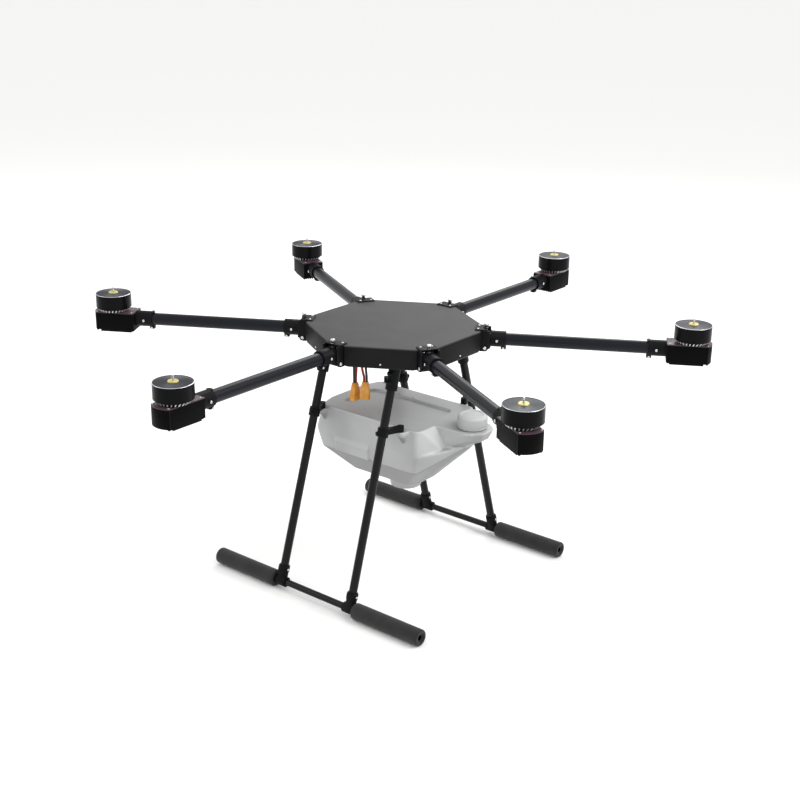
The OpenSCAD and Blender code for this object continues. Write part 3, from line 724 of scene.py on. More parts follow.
def screwTree():  # one screw on each point, its axis along the point's aim, as large as its size
    tree, given = startTree("screwsOnPoints", [("Screw", "Object", None), ("Material", "Material", None)])
    aim = addNode(tree, "GeometryNodeInputNamedAttribute", {"data_type": "FLOAT_VECTOR"}, {"Name": "aim"})
    size = addNode(tree, "GeometryNodeInputNamedAttribute", {"data_type": "FLOAT"}, {"Name": "size"})
    turn = addNode(tree, "FunctionNodeAlignRotationToVector", {"axis": "Z"}, links={"Vector": aim.outputs[0]})
    part = addNode(tree, "GeometryNodeObjectInfo", links={"Object": given["Screw"]})
    copies = addNode(tree, "GeometryNodeInstanceOnPoints", links={
        "Points": given["Geometry"], "Instance": part.outputs["Geometry"], "Rotation": turn.outputs[0],
        "Scale": size.outputs[0]})
    return endTree(tree, copies.outputs[0], given["Material"])


def threadTree():  # a raised thread wound up a rod
    tree, given = startTree("threadWound", [
        ("Radius", "Float", 2.5), ("Pitch", "Float", 0.8), ("Turns", "Float", 12.0),
        ("Depth", "Float", 0.35), ("Material", "Material", None)])
    coil = addNode(tree, "GeometryNodeCurveSpiral", values={"Resolution": 20}, links={
        "Rotations": given["Turns"], "Start Radius": given["Radius"], "End Radius": given["Radius"],
        "Height": mathNode(tree, "MULTIPLY", given["Pitch"], given["Turns"])})
    edge = addNode(tree, "GeometryNodeCurvePrimitiveCircle", values={"Resolution": 4}, links={
        "Radius": given["Depth"]})
    wall = addNode(tree, "GeometryNodeCurveToMesh", values={"Fill Caps": True}, links={
        "Curve": coil.outputs[0], "Profile Curve": edge.outputs[0]})
    return endTree(tree, wall.outputs[0], given["Material"])


def leadTree():  # a round lead swept along a curve
    tree, given = startTree("leadSwept", [
        ("Diameter", "Float", 0.006), ("Sides", "Int", 14), ("Material", "Material", None)])
    ring = addNode(tree, "GeometryNodeCurvePrimitiveCircle", links={
        "Resolution": given["Sides"], "Radius": mathNode(tree, "MULTIPLY", given["Diameter"], 0.5)})
    line = addNode(tree, "GeometryNodeMeshToCurve", links={"Mesh": given["Geometry"]})
    skin = addNode(tree, "GeometryNodeCurveToMesh", values={"Fill Caps": True}, links={
        "Curve": line.outputs[0], "Profile Curve": ring.outputs[0]})
    return endTree(tree, skin.outputs[0], given["Material"])


trees = {"ring": ringTree(), "fins": finTree(), "screws": screwTree(), "thread": threadTree(),
         "lead": leadTree()}
print("geometry node trees built:", len(trees))

socketScrew = {"sides": 20, "headHeight": 0.55, "socket": 0.42, "socketDepth": 0.32}  # for a head 1 in radius


def makeScrew(sizes):  # button head with a hexagon socket, radius 1, standing on z = 0
    steps = sizes["sides"]
    tall = sizes["headHeight"]
    profile = [(0, 0), (1, 0), (1, 0.12), (0.93, 0.3), (0.78, tall - 0.06), (0.62, tall), (0, tall)]
    mesh = lathe("screwHead", profile, steps, ["steel"], closed=False)
    cutter = prism("screwSocket", circle(sizes["socket"], 6), tall - sizes["socketDepth"], tall + 1,
                   ["steel"])
    head = showMesh("screwHead", mesh)
    carve(head, showMesh("screwSocket", cutter))
    smoothFaces(head.data, 40)
    head.hide_render = True
    return head


screwPart = makeScrew(socketScrew)


def screwField(name, spots):  # spots: (place, aim, head radius), in mm
    mesh = bpy.data.meshes.new(name)
    mesh.from_pydata([place for place, aim, size in spots], [], [])
    mesh.attributes.new("aim", "FLOAT_VECTOR", "POINT")
    mesh.attributes.new("size", "FLOAT", "POINT")
    aims, sizes = mesh.attributes["aim"], mesh.attributes["size"]
    for k, (place, aim, size) in enumerate(spots):
        aims.data[k].vector = aim
        sizes.data[k].value = size
    grown = grownMesh(name, trees["screws"], {"Screw": screwPart, "Material": finish["steel"]}, mesh)
    smoothFaces(grown, 40)
    return grown


# ---- battery leads and their plugs ----

leads = {"diameter": 6.0, "gap": 3.4, "boardZ": 589.5, "floorZ": 579.5, "sides": 14, "steps": 40,
         "plugTop": [(-60, -74, 485), (-36, -64, 490)], "exit": [(-57, -75), (-48, -66)],
         "way": [(0.2, 1.3, 558), (0.5, 1.5, 538), (0.8, 1.3, 514)],  # share of the way, spread, height
         "turn": [92, 20], "red": [1, -1]}


def leadRoute(n, side):  # corner points of a lead, from the power board down to its plug
    e, p = leads["exit"][n], leads["plugTop"][n]
    turn = math.radians(leads["turn"][n])
    d = (math.cos(turn) * side * leads["gap"], math.sin(turn) * side * leads["gap"])
    points = [(e[0] + d[0], e[1] + d[1], leads["boardZ"]), (e[0] + d[0], e[1] + d[1], leads["floorZ"] - 8)]
    for share, spread, height in leads["way"]:
        points.append((e[0] * (1 - share) + p[0] * share + d[0] * spread,
                       e[1] * (1 - share) + p[1] * share + d[1] * spread, height))
    points += [(p[0] + d[0], p[1] + d[1], p[2] + 12), (p[0] + d[0], p[1] + d[1], p[2])]
    return [Vector(point) * mm for point in points]


def curvePoints(points, count):  # evenly timed points on the smooth curve through the corners
    last = len(points) - 1
    out = []
    for i in range(count + 1):
        t = i / count * last
        k = min(int(t), last - 1)
        u = t - k
        a, b, c, d = points[max(k - 1, 0)], points[k], points[k + 1], points[min(k + 2, last)]
        out.append((2 * b + (c - a) * u + (2 * a - 5 * b + 4 * c - d) * u * u
                    + (3 * b - a - 3 * c + d) * u * u * u) / 2)
    return out


plug = {"height": 44, "shellTop": 14, "edge": 0.7, "ribX": (-8, -4, 0, 4, 8), "ribHalf": (0.7, 0.5),
        "ribY": 6.6, "pinX": 5.6}


def plugRib(x, y):
    wide, deep = plug["ribHalf"]
    return prism("plugRib", oblong(x - wide, x + wide, y - deep, y + deep), 2, 12, ["plug"])


def makePlug(n):  # shell with one side's corners cut, a tapering hood above it, two gold sockets
    shell = prism("plugShell", [(-12, -7), (9.2, -7), (12, -4.2), (12, 4.2), (9.2, 7), (-12, 7)],
                  0, plug["shellTop"], ["plug"])
    hood = loft("plugHood", [[(x, y, z) for x, y in oblong(-wide, wide, -deep, deep)]
                             for wide, deep, z in ((11.6, 6.6, plug["shellTop"] - 0.5), (9.4, 6.0, 30),
                                                   (6.8, 4.6, plug["height"]))], ["plug"])
    ribs = [plugRib(x, s * plug["ribY"]) for x in plug["ribX"] for s in (-1, 1)]
    obj = softened(showMesh("plugBody", scaledMesh(joined("plugBody", [shell, hood] + ribs, ["plug"]))),
                   plug["edge"], 3)
    pin = lathe("plugPin", [(0, -0.4), (1.6, -0.4), (2.2, 0.4), (2.2, 1.0), (0, 1.0)], 20, ["gold"],
                closed=False)
    metal = scaledMesh(joined("plugMetal", [shifted(pin, s * plug["pinX"]) for s in (-1, 1)], ["gold"]))
    smoothFaces(metal)
    mesh = joined("plug", [obj.data, metal], ["plug", "gold"])
    bpy.data.objects.remove(obj)
    x, y, z = leads["plugTop"][n]
    mesh.transform(Matrix.Translation(Vector((x, y, z - plug["height"])) * mm)
                   @ Matrix.Rotation(math.radians(leads["turn"][n]), 4, "Z"))
    smoothFaces(mesh, 38)
    return addPiece("batteryPlug%d" % (n + 1), mesh, "frame", "battery_plug_%d" % (n + 1))


for n in (0, 1):
    plugPiece = makePlug(n)
    for side, colour in ((leads["red"][n], "Red"), (-leads["red"][n], "Black")):
        path = curvePoints(leadRoute(n, side), leads["steps"])
        line = bpy.data.meshes.new("leadLine")
        line.from_pydata(path, [(k, k + 1) for k in range(len(path) - 1)], [])
        lead = growPiece("batteryLead%s%d" % (colour, n + 1), trees["lead"], {
            "Diameter": leads["diameter"] * mm, "Sides": leads["sides"],
            "Material": finish["lead" + colour]}, line)
        smoothFaces(lead.data, 50)
        finishPiece(lead, "frame", "plug_lead_%s_%d" % (colour.lower(), n + 1))

# ---- hub ----

hub = {"coverRound": 4.2, "coverWall": 1.5, "notchDeep": 12, "notchHalf": 24, "notchOut": 9,
       "forkEdge": 0.5, "plateEdge": 0.35, "floorEdge": 0.25, "boardEdge": 0.2, "caseEdge": 0.8,
       "flat": 197, "cut": 211, "armZ": 605.5, "coverTop": 629, "coverLow": 582.5, "plateTop": 632,
       "pivotR": 220, "pivotZ": 587, "pivotD": 6, "pivotHalf": 24, "forkOut": 23,
       "plateScrew": 2.9, "pivotScrew": 4.4, "forkScrew": 2.2, "sideScrew": 2.4}


def hubOutline(flat, cut):  # hexagon with its six corners cut off; a flat faces +X
    points = []
    for k in range(6):
        corner = math.radians(30 + 60 * k)
        across = flat / math.cos(math.radians(30)) - cut  # how much of the corner is gone
        half = across * math.tan(math.radians(60))
        for s in (-1, 1):
            points.append((cut * math.cos(corner) - s * half * math.sin(corner),
                           cut * math.sin(corner) + s * half * math.cos(corner)))
    return points


def coverMesh():  # thin folded sheet: rounded top edges, open below, slots where the forks come out
    mesh = prism("hubCover", hubOutline(hub["flat"], hub["cut"]), hub["coverLow"], hub["coverTop"], ["cover"])
    work = bmesh.new()
    work.from_mesh(mesh)
    base = [face for face in work.faces if face.normal.z < -0.9]
    bmesh.ops.delete(work, geom=base, context="FACES_ONLY")
    work.to_mesh(mesh)
    work.free()
    obj = softened(showMesh("hubCover", scaledMesh(mesh)), hub["coverRound"], 5)
    sheet = obj.modifiers.new("sheet", "SOLIDIFY")
    sheet.thickness = hub["coverWall"] * mm
    sheet.offset = -1
    sheet.use_even_offset = True
    bakePiece(obj)
    slot = oblong(hub["cut"] - hub["notchDeep"], hub["cut"] + hub["notchOut"], -hub["notchHalf"],
                  hub["notchHalf"])
    for i in range(1, armCount + 1):
        notch = prism("notch", slot, hub["coverLow"] - 5, hub["coverTop"] - hub["coverWall"], ["cover"])
        carve(obj, showMesh("notch", scaledMesh(moved(notch, armTurn(i)))))
    smoothFaces(obj.data, 38)
    return obj


finishPiece(coverMesh(), "frame", "hub_cover")
solidPiece("hubFloor", "hub_floor", hub["floorEdge"], "carbonPlate")
solidPiece("cornerForks", "corner_forks", hub["forkEdge"], "anodised", "anodisedPaintedEdgeHighlight")
solidPiece("latchPlates", "latch_plates", hub["plateEdge"], "anodised", "anodisedPaintedEdgeHighlight")
solidPiece("powerBoard", "power_board", hub["boardEdge"], "board")
solidPiece("flightController", "flight_controller", hub["caseEdge"], "nylon", "nylonPaintedEdgeHighlight")


def hubScrewSpots():
    spots = []
    for i in range(1, armCount + 1):
        turn = armTurn(i)
        for s in (-1, 1):
            across = turn @ Vector((0, s, 0))
            spots += [
                (turn @ Vector((hub["cut"] - 8, s * 14, hub["plateTop"])), Vector((0, 0, 1)),
                 hub["plateScrew"]),
                (turn @ Vector((hub["pivotR"], s * hub["forkOut"], hub["pivotZ"])), across,
                 hub["pivotScrew"]),
                (turn @ Vector((hub["cut"] - 15, s * hub["forkOut"], hub["armZ"] - 4)), across,
                 hub["forkScrew"])]
        side = Matrix.Rotation(math.radians(60 * (i - 1)), 4, "Z")  # the middle of a flat
        spots.append((side @ Vector((hub["flat"], 0, hub["coverLow"] + 7)), side @ Vector((1, 0, 0)),
                      hub["sideScrew"]))
    return spots


pivotPin = moved(rod("pin", hub["pivotD"] / 2, -hub["pivotHalf"], hub["pivotHalf"], 0.3, 20, "steel"),
                 alongY(hub["pivotR"], 0, hub["pivotZ"]))
screwMesh = scaledMesh(joined("hubScrews", [screwField("hubScrews", hubScrewSpots())]
                              + [moved(pivotPin, armTurn(i)) for i in range(1, armCount + 1)], ["steel"]))
smoothFaces(screwMesh, 40)
addPiece("hubScrews", screwMesh, "frame", "pivot_screws", "hub_screws")
print("hub made")

# ---- arms ----

arm = {"tubeFrom": 234, "tubeTo": 638, "tubeD": 30, "wall": 1.5, "z": 605.5, "rootEdge": 0.6,
       "rootScrew": 248, "tipScrew": 619, "screwOut": 21.2, "screw": 3.3, "lug": 263, "lugDrop": 20,
       "lugOut": 9, "lugScrew": 2.9}


def pairOfScrews(x, out, z, size):  # one on each side of the arm, heads outwards
    return [(Vector((x, s * out, z)), Vector((0, s, 0)), size) for s in (-1, 1)]


def rootMesh():  # arm 1's solid, turned back to lie along +X
    obj = fromSolid("armRoot", "arm_root_1", arm["rootEdge"], "anodised", "anodisedPaintedEdgeHighlight")
    mesh = obj.data.copy()
    bpy.data.objects.remove(obj)
    mesh.transform(armTurn(1).inverted())
    screws = screwField("rootScrews", pairOfScrews(arm["rootScrew"], arm["screwOut"], arm["z"], arm["screw"])
                        + pairOfScrews(arm["lug"], arm["lugOut"], arm["z"] - arm["lugDrop"], arm["lugScrew"]))
    return joined("armRoot", [mesh, scaledMesh(screws)], ["anodised", "anodisedPaintedEdgeHighlight", "steel"])


armTube = tubeBetween(Vector((arm["tubeFrom"], 0, arm["z"])), Vector((arm["tubeTo"], 0, arm["z"])),
                      arm["tubeD"] / 2, arm["wall"], 56, "carbonTube")
onEachArm(("armTube", scaledMesh(armTube), "arm", "arm_tube"), ("armRoot", rootMesh(), "arm", "arm_root"))
print("arms made")

# ---- latch bolts ----

latch = {"x": 221, "pinZ": 622, "stemD": 5.2, "nutZ": 632.8, "washerH": 0.8, "nutH": 2.6, "headZ": 642.5,
         "nut": 5.0, "knurls": 20, "threadPitch": 1.0, "threadTurns": 12.0}


def latchMesh():  # eye on its pin, threaded stem, washer and nut, knurled head
    z0, top, wide, nutZ = latch["pinZ"], latch["headZ"], latch["nut"], latch["nutZ"] + latch["washerH"]
    r = latch["stemD"] / 2
    stem = lathe("stem", [(0, z0 - 3), (r - 0.4, z0 - 3), (r, z0 - 2), (r, top - 3), (0, top - 3)], 20,
                 ["darkSteel"], closed=False)
    thread = shifted(grownMesh("thread", trees["thread"], {
        "Radius": r + 0.02, "Pitch": latch["threadPitch"], "Turns": latch["threadTurns"], "Depth": 0.4,
        "Material": finish["darkSteel"]}), z=z0 + 4)
    eye = lathe("eye", [(1.55, -3.6), (3.4, -3.6), (3.8, -3.2), (3.8, 3.2), (3.4, 3.6), (1.55, 3.6)],
                24, ["darkSteel"])
    eye = moved(eye, alongY(0, 0, z0))
    pin = moved(rod("pin", 1.5, -9, 9, 0.2, 16, "steel"), alongY(0, 0, z0))
    washer = lathe("washer", [(2.8, latch["nutZ"]), (wide, latch["nutZ"]), (wide, nutZ), (2.8, nutZ)], 24,
                   ["steel"])
    nut = prism("nut", circle(wide * 0.97, 6), nutZ, nutZ + latch["nutH"], ["darkSteel"])
    knob = lathe("knob", [(0, top - 4.5), (4.6, top - 4.5), (5.1, top - 4.0), (5.1, top - 0.9),
                          (4.6, top - 0.2), (3.4, top), (0, top)], 28, ["steel"], closed=False)
    knurl = prism("knurl", oblong(-0.5, 0.4, -0.35, 0.35), 0, 2.8, ["steel"])
    knurls = repeatedMesh("knurls", trees["ring"], knurl, {
        "Count": latch["knurls"], "Radius": 5.1, "Height": top - 3.9, "Material": finish["steel"]})
    mesh = joined("latchBolt", [stem, thread, eye, pin, washer, nut, knob, knurls], ["darkSteel", "steel"])
    smoothFaces(mesh, 35)
    return scaledMesh(shifted(mesh, latch["x"]))


onEachArm(("latchBolt", latchMesh(), "latch", "latch_bolt"))
print("latch bolts made")

# ---- motor pods ----

pod = {"motorR": 700, "inner": 58, "outer": 46.4, "half": 28, "low": 579.5, "top": 623.7, "lid": 2.2,
       "seam": 0.4, "edge": 0.45, "lidEdge": 0.4, "fins": 9, "finPitch": 6, "finDepth": 5, "finLength": 78.0,
       "finThick": 1.8, "collarFrom": 600, "collarTo": 643, "collarR": 19, "lugScrew": 2.7,
       "lidScrewOut": 2.6, "lidScrewIn": 2.2}


def podOutline(inset, steps=24):  # straight sides and a round end under the motor
    reach, half, back = pod["outer"] - inset, pod["half"] - inset, pod["motorR"] - pod["inner"] + inset
    corner = math.asin(half / reach)
    turns = [-corner + 2 * corner * k / steps for k in range(steps + 1)]
    return [(back, -half)] + [(pod["motorR"] + reach * math.cos(a), reach * math.sin(a)) for a in turns] \
        + [(back, half)]


def softMesh(name, mesh, width, slots, edgeSlot=-1, segments=2, angle=30):  # edges rounded, still in mm
    obj = showMesh(name, mesh)
    setFaces(obj.data, slots)
    softened(obj, width / mm, segments, angle, edgeSlot)
    out = obj.data.copy()
    bpy.data.objects.remove(obj)
    return out


def lidScrews(x, out, size):
    return [(Vector((x, s * out, pod["top"] - 0.1)), Vector((0, 0, 1)), size) for s in (-1, 1)]


def podMesh():
    under = pod["top"] - pod["lid"]
    back, tipX, armZ, lugX = pod["motorR"] - pod["inner"], arm["tipScrew"], arm["z"], pod["collarFrom"] + 3
    case = softMesh("podCase", prism("podCase", podOutline(0), pod["low"], under - pod["seam"], ["podCase"]),
                    pod["edge"], ["podCase", "podPaintedEdgeHighlight"], 1)
    seam = prism("podSeam", podOutline(0.8), under - pod["seam"] - 0.2, under + 0.2, ["podCase"])
    lid = softMesh("podLid", prism("podLid", podOutline(0), under, pod["top"], ["podLid"]), pod["lidEdge"],
                   ["podLid", "podPaintedEdgeHighlight"], 1)
    fins = shifted(grownMesh("podFins", trees["fins"], {
        "Count": pod["fins"], "Pitch": float(pod["finPitch"]), "Length": pod["finLength"],
        "Thickness": pod["finThick"], "Depth": pod["finDepth"] + 0.4, "Material": finish["podCase"]}),
        pod["motorR"] - 11, 0, pod["low"] - pod["finDepth"] / 2 + 0.2)
    r, long = pod["collarR"], pod["collarTo"] - pod["collarFrom"]
    collar = lathe("podCollar", [(15.1, 0), (r - 0.6, 0), (r, 0.6), (r, 12), (r - 0.3, 12.3), (r - 0.3, 13.1),
                                 (r, 13.4), (r, long), (15.1, long)], 56, ["anodised"])
    lug = softMesh("podLug", prism("podLug", oblong(lugX - 6, lugX + 6, -6, 6), armZ - 24, armZ - 16,
                                   ["anodised"]), 0.8, ["anodised", "anodisedPaintedEdgeHighlight"], 1)
    # small pointed tab over the collar, where the two half-shells meet
    tab = softMesh("tab", prism("tab", [(598, -7), (604, -9), (604, 9), (598, 7), (595.5, 0)], armZ + 17.2,
                                armZ + 19.4, ["anodised"]), 0.4, ["anodised", "anodisedPaintedEdgeHighlight"], 1)
    cross = moved(rod("cross", 3, -9, 9, 0.2, 20, "anodised"), alongY(lugX, 0, armZ - 20))
    boss = lathe("boss", [(0, 12), (3.5, 12), (3.5, 21), (3.2, 21.4), (0, 21.4)], 24, ["anodised"],
                 closed=False)
    bosses = [moved(boss, alongY(tipX, 0, armZ, s)) for s in (-1, 1)]
    foot = lathe("foot", [(0, -2.4), (2.3, -2.4), (2.8, -1.9), (2.8, 0.5), (0, 0.5)], 20, ["podCase"],
                 closed=False)
    feet = [shifted(foot, x, s * 23, pod["low"]) for x in (back + 5, pod["motorR"] + 36) for s in (-1, 1)]
    screws = screwField("podScrews", pairOfScrews(tipX, arm["screwOut"], armZ, arm["screw"])
                        + pairOfScrews(lugX, 8.8, armZ - 20, pod["lugScrew"])
                        + lidScrews(pod["motorR"] + 35, 23, pod["lidScrewOut"])
                        + lidScrews(back + 7, 21, pod["lidScrewIn"]))
    mesh = joined("motorPod", [case, seam, lid, fins, moved(collar, alongX(pod["collarFrom"], 0, armZ)), lug,
                               cross, tab, screws] + bosses + feet,
                  ["podCase", "podPaintedEdgeHighlight", "podLid", "anodised", "anodisedPaintedEdgeHighlight", "steel"])
    smoothFaces(mesh, 38)
    return scaledMesh(mesh)


onEachArm(("motorPod", podMesh(), "arm", "motor_pod"))
print("motor pods made")

# ---- motors ----

motor = {"bellR": 42.8, "bellLow": 632.5, "bellTop": 667, "teeth": 28, "magnets": 28, "neckLow": 32.3,
         "neckHigh": 40.0, "coreR": 37.2, "coreTop": 655, "shaftLow": 624.8, "shaftD": 8, "stubR": 2.5,
         "stubTop": 680.4, "bossR": 11}


def bladeMesh():  # one light tooth of the vented neck, standing on the cone
    base = oblong(-0.9, 0.9, -1.35, 1.35)
    tip = [(x * 0.7 + 4.9, y * 0.9 + 2.0, 5.9) for x, y in base]
    return loft("blade", [[(x, y, 0) for x, y in base], tip], ["tooth"])


def statorMesh():
    m, top = motor, pod["top"]
    base = lathe("statorBase", [(4.1, top + 0.02), (m["neckLow"] + 1.2, top + 0.02),
                                (m["neckLow"] + 1.4, top + 1.0), (m["neckLow"] + 0.6, top + 1.6),
                                (m["neckHigh"] - 1.4, m["bellLow"] - 1.4),
                                (m["neckHigh"], m["bellLow"] - 1.0), (m["neckHigh"], m["bellLow"] - 0.5),
                                (m["coreR"], m["bellLow"] - 0.5), (m["coreR"], m["coreTop"]),
                                (30, m["coreTop"]), (30, m["coreTop"] - 2), (4.1, m["coreTop"] - 2)], 96,
                 ["anodised", "winding"], [0, 0, 0, 0, 0, 0, 0, 1, 1, 1, 0, 0])
    teeth = repeatedMesh("neckTeeth", trees["ring"], bladeMesh(), {
        "Count": m["teeth"], "Radius": m["neckLow"] + 1.4, "Height": top + 1.1, "Material": finish["tooth"]})
    mesh = joined("motorStator", [base, teeth], ["anodised", "winding", "tooth"])
    smoothFaces(mesh, 38)
    return scaledMesh(shifted(mesh, pod["motorR"]))


def rotorMesh():
    m = motor
    r, low, top = m["bellR"], m["bellLow"], m["bellTop"]
    profile = [(0, top - 4), (r - 4.8, top - 4), (r - 4.8, low + 0.6), (r - 4.2, low), (r - 0.7, low),
               (r, low + 0.7), (r, low + 3.4), (r - 0.35, low + 3.7), (r - 0.35, low + 4.3), (r, low + 4.6),
               (r, top - 2.2), (r - 0.25, top - 2.0), (r, top - 1.8), (r, top - 0.9), (r - 0.35, top - 0.45),
               (r - 1.3, top - 0.2), (r - 1.8, top - 0.55), (r - 2.4, top - 0.45), (28, top + 0.1),
               (14, top + 0.45), (m["bossR"] + 0.6, top + 0.5), (m["bossR"] + 0.3, top + 0.9),
               (m["bossR"], top + 1.0), (m["bossR"], top + 1.9), (m["bossR"] - 0.5, top + 2.4),
               (6.2, top + 2.4), (6.0, top + 2.0), (4.4, top + 2.0), (4.2, top + 2.4),
               (m["stubR"], top + 2.4)]
    picks = [0] * 13 + [1] * 2 + [2] * 5 + [3] * 9 + [4] * 3  # body, bright rim, disc, boss, stub
    stub = [(m["stubR"] - 0.1, m["stubTop"] - 0.6), (m["stubR"] - 0.7, m["stubTop"]), (0, m["stubTop"])]
    mesh = lathe("bell", profile + stub, 120, ["bell", "rim", "disc", "brass", "steel"], picks, closed=False)
    thread = shifted(grownMesh("thread", trees["thread"], {
        "Radius": m["stubR"] - 0.12, "Pitch": 0.9, "Turns": 10.5, "Depth": 0.28,
        "Material": finish["steel"]}), z=top + 2.8)
    half = m["shaftD"] / 2
    shaft = lathe("shaft", [(0, m["shaftLow"]), (half - 0.4, m["shaftLow"]), (half, m["shaftLow"] + 0.4),
                            (half, top - 3), (0, top - 3)], 32, ["steel"], closed=False)
    magnet = prism("magnet", oblong(-1.2, 0.4, -3.6, 3.6), 0, 1.6, ["tooth"])
    magnets = repeatedMesh("magnets", trees["ring"], magnet, {
        "Count": m["magnets"], "Radius": r - 4.0, "Height": low + 0.2, "Material": finish["tooth"]})
    whole = joined("motorBell", [mesh, thread, shaft, magnets],
                   ["bell", "rim", "disc", "brass", "steel", "tooth"])
    smoothFaces(whole, 38)
    storeAround(whole, (0, 0, 0))
    around = [Vector(item.vector) for item in whole.attributes["around"].data]
    return scaledMesh(shifted(whole, pod["motorR"])), around


statorCopy = statorMesh()
rotorCopy, rotorAround = rotorMesh()
for i in range(1, armCount + 1):
    addPiece("motorStator%d" % i, moved(statorCopy, armTurn(i)), "arm_%d" % i, "motor_stator_%d" % i)
    bell = moved(rotorCopy, armTurn(i))
    turn = armTurn(i).to_3x3()
    for item, direction in zip(bell.attributes["around"].data, rotorAround):
        item.vector = turn @ direction
    addPiece("motorBell%d" % i, bell, "rotor_%d" % i, "motor_rotor_%d" % i)
print("motors made")

# ---- landing gear ----

gear = {"legTop": (105.1, 122.6, 579.5), "legFoot": (110, 289.7, 20), "legD": 20, "wall": 1.5,
        "legFromFoot": 15, "legFromTop": 14, "skidD": 16, "skidEnd": 318, "foamD": 40, "foamFrom": 127,
        "foamTo": 322, "foamEnd": 4.5, "screwZ": 49, "screwOut": 4, "screw": 3.2, "socketScrew": 3.0,
        "socketHalf": 19, "edge": 0.7}

legTop, legFoot = Vector(gear["legTop"]), Vector(gear["legFoot"])
legWay = (legTop - legFoot).normalized()


def cornerTurns():  # the four mirror images of the +X +Y corner
    return [Matrix.Diagonal((sx, sy, 1, 1)) for sx in (1, -1) for sy in (1, -1)]


def legPoint(z):
    return legFoot + legWay * ((z - legFoot.z) / legWay.z)


def onEachCorner(mesh):
    return [moved(mesh, turn) for turn in cornerTurns()]


def gearPiece(name, meshes, key, node, angle=32):
    mesh = scaledMesh(joined(name, meshes, [key]))
    smoothFaces(mesh, angle)
    addPiece(name, mesh, "frame", node)


legMesh = tubeBetween(legFoot + legWay * gear["legFromFoot"], legTop - legWay * gear["legFromTop"],
                      gear["legD"] / 2, gear["wall"], 44, "legTube")
gearPiece("legs", onEachCorner(legMesh), "legTube", "legs")
skidTubes = [tubeBetween(Vector((-gear["skidEnd"], y, legFoot.z)), Vector((gear["skidEnd"], y, legFoot.z)),
                         gear["skidD"] / 2, gear["wall"], 40, "legTube") for y in (legFoot.y, -legFoot.y)]
gearPiece("skids", skidTubes, "legTube", "skids")


def foamMesh():
    r, soft = gear["foamD"] / 2, gear["foamEnd"]
    span = gear["foamTo"] - gear["foamFrom"]
    bore = gear["skidD"] / 2 + 0.05
    profile = [(bore, 0), (r - 2.4, 0), (r - 0.8, 0.7), (r, 2.2)]
    profile += [(r - 0.12 * math.sin(math.pi * k / 12) * (1 if k % 2 else 0.2),
                 2.2 + (span - soft - 2.2) * k / 12) for k in range(1, 12)]
    profile += [(r - soft + soft * math.cos(math.radians(a)), span - soft + soft * math.sin(math.radians(a)))
                for a in range(0, 91, 15)]
    profile += [(13.4, span), (11.6, span - 1.4), (10.6, span - 3.6), (bore, span - 4.0)]
    mesh = lathe("foam", profile, 64, ["foam"])
    smoothFaces(mesh, 60)
    return moved(mesh, alongX(gear["foamFrom"], legFoot.y, legFoot.z))


gearPiece("foamSleeves", onEachCorner(foamMesh()), "foam", "foam_sleeves", 60)
solidPiece("legSockets", "leg_sockets", gear["edge"], "nylon", "nylonPaintedEdgeHighlight")
solidPiece("skidJoints", "skid_joints", gear["edge"], "nylon", "nylonPaintedEdgeHighlight")
solidPiece("tankClamps", "tank_clamps", gear["edge"], "nylon", "nylonPaintedEdgeHighlight")


def gearScrewSpots():
    spots = []
    side, out = Vector((1, 0, 0)), gear["socketHalf"]
    for turn in cornerTurns():
        for s in (-1, 1):
            place = legPoint(gear["screwZ"]) + side * s * (gear["legD"] / 2 + gear["screwOut"])
            spots.append((turn @ place, turn.to_3x3() @ (side * s), gear["screw"]))
        spots += [(turn @ Vector((legTop.x + dx, legTop.y + dy, legTop.z - 4)), Vector((0, 0, -1)),
                   gear["socketScrew"]) for dx in (-out, out) for dy in (-out, out)]
    return spots


addPiece("gearScrews", scaledMesh(screwField("gearScrews", gearScrewSpots())), "frame", "gear_screws")
print("landing gear made")

# ---- tank ----

tank = {"top": 423, "waist": 361, "chine": 314, "keel": 251, "sump": 224, "y": 112, "front": 165, "rear": 135,
        "neckX": 238, "neckR": 32, "neckTop": 452, "outletX": 42, "deck": (-112, 138, -60, 60), "deckDrop": 6,
        "seat": (123, 122, 415), "panel": (-84, 20), "deckHoleX": (-35, 8), "deckHoleY": 67, "voxel": 2.2,
        "soften": 4, "sumpR": 38, "capR": 36, "capLow": 425, "capTop": 456, "capRibs": 48}


def bothSides(half):
    return half + [(x, -y) for x, y in reversed(half)]


def roundedOutline(points, radius, steps=5):  # corners of a convex outline rounded
    out = []
    count = len(points)
    for k in range(count):
        a, b, c = (Vector(points[(k + d) % count]) for d in (-1, 0, 1))
        u, w = (a - b).normalized(), (c - b).normalized()
        spread = u.angle(w)
        if spread > math.radians(175):
            out.append(b)
            continue
        reach = min(radius / math.tan(spread / 2), (a - b).length * 0.48, (c - b).length * 0.48)
        r = reach * math.tan(spread / 2)
        middle = b + (u + w).normalized() * (r / math.sin(spread / 2))
        first, last = b + u * reach - middle, b + w * reach - middle
        sweep = first.angle_signed(last)
        for n in range(steps + 1):
            out.append(middle + Matrix.Rotation(-sweep * n / steps, 2) @ first)
    return [(p.x, p.y) for p in out]


def hullOf(levels):  # levels: (height, outline)
    work = bmesh.new()
    for height, outline in levels:
        for x, y in outline:
            work.verts.new((x, y, height))
    found = bmesh.ops.convex_hull(work, input=work.verts)
    loose = [v for v in found["geom_interior"] if isinstance(v, bmesh.types.BMVert)]
    bmesh.ops.delete(work, geom=loose, context="VERTS")
    bmesh.ops.recalc_face_normals(work, faces=work.faces)
    return meshFrom(work, "hull", ["tank"])


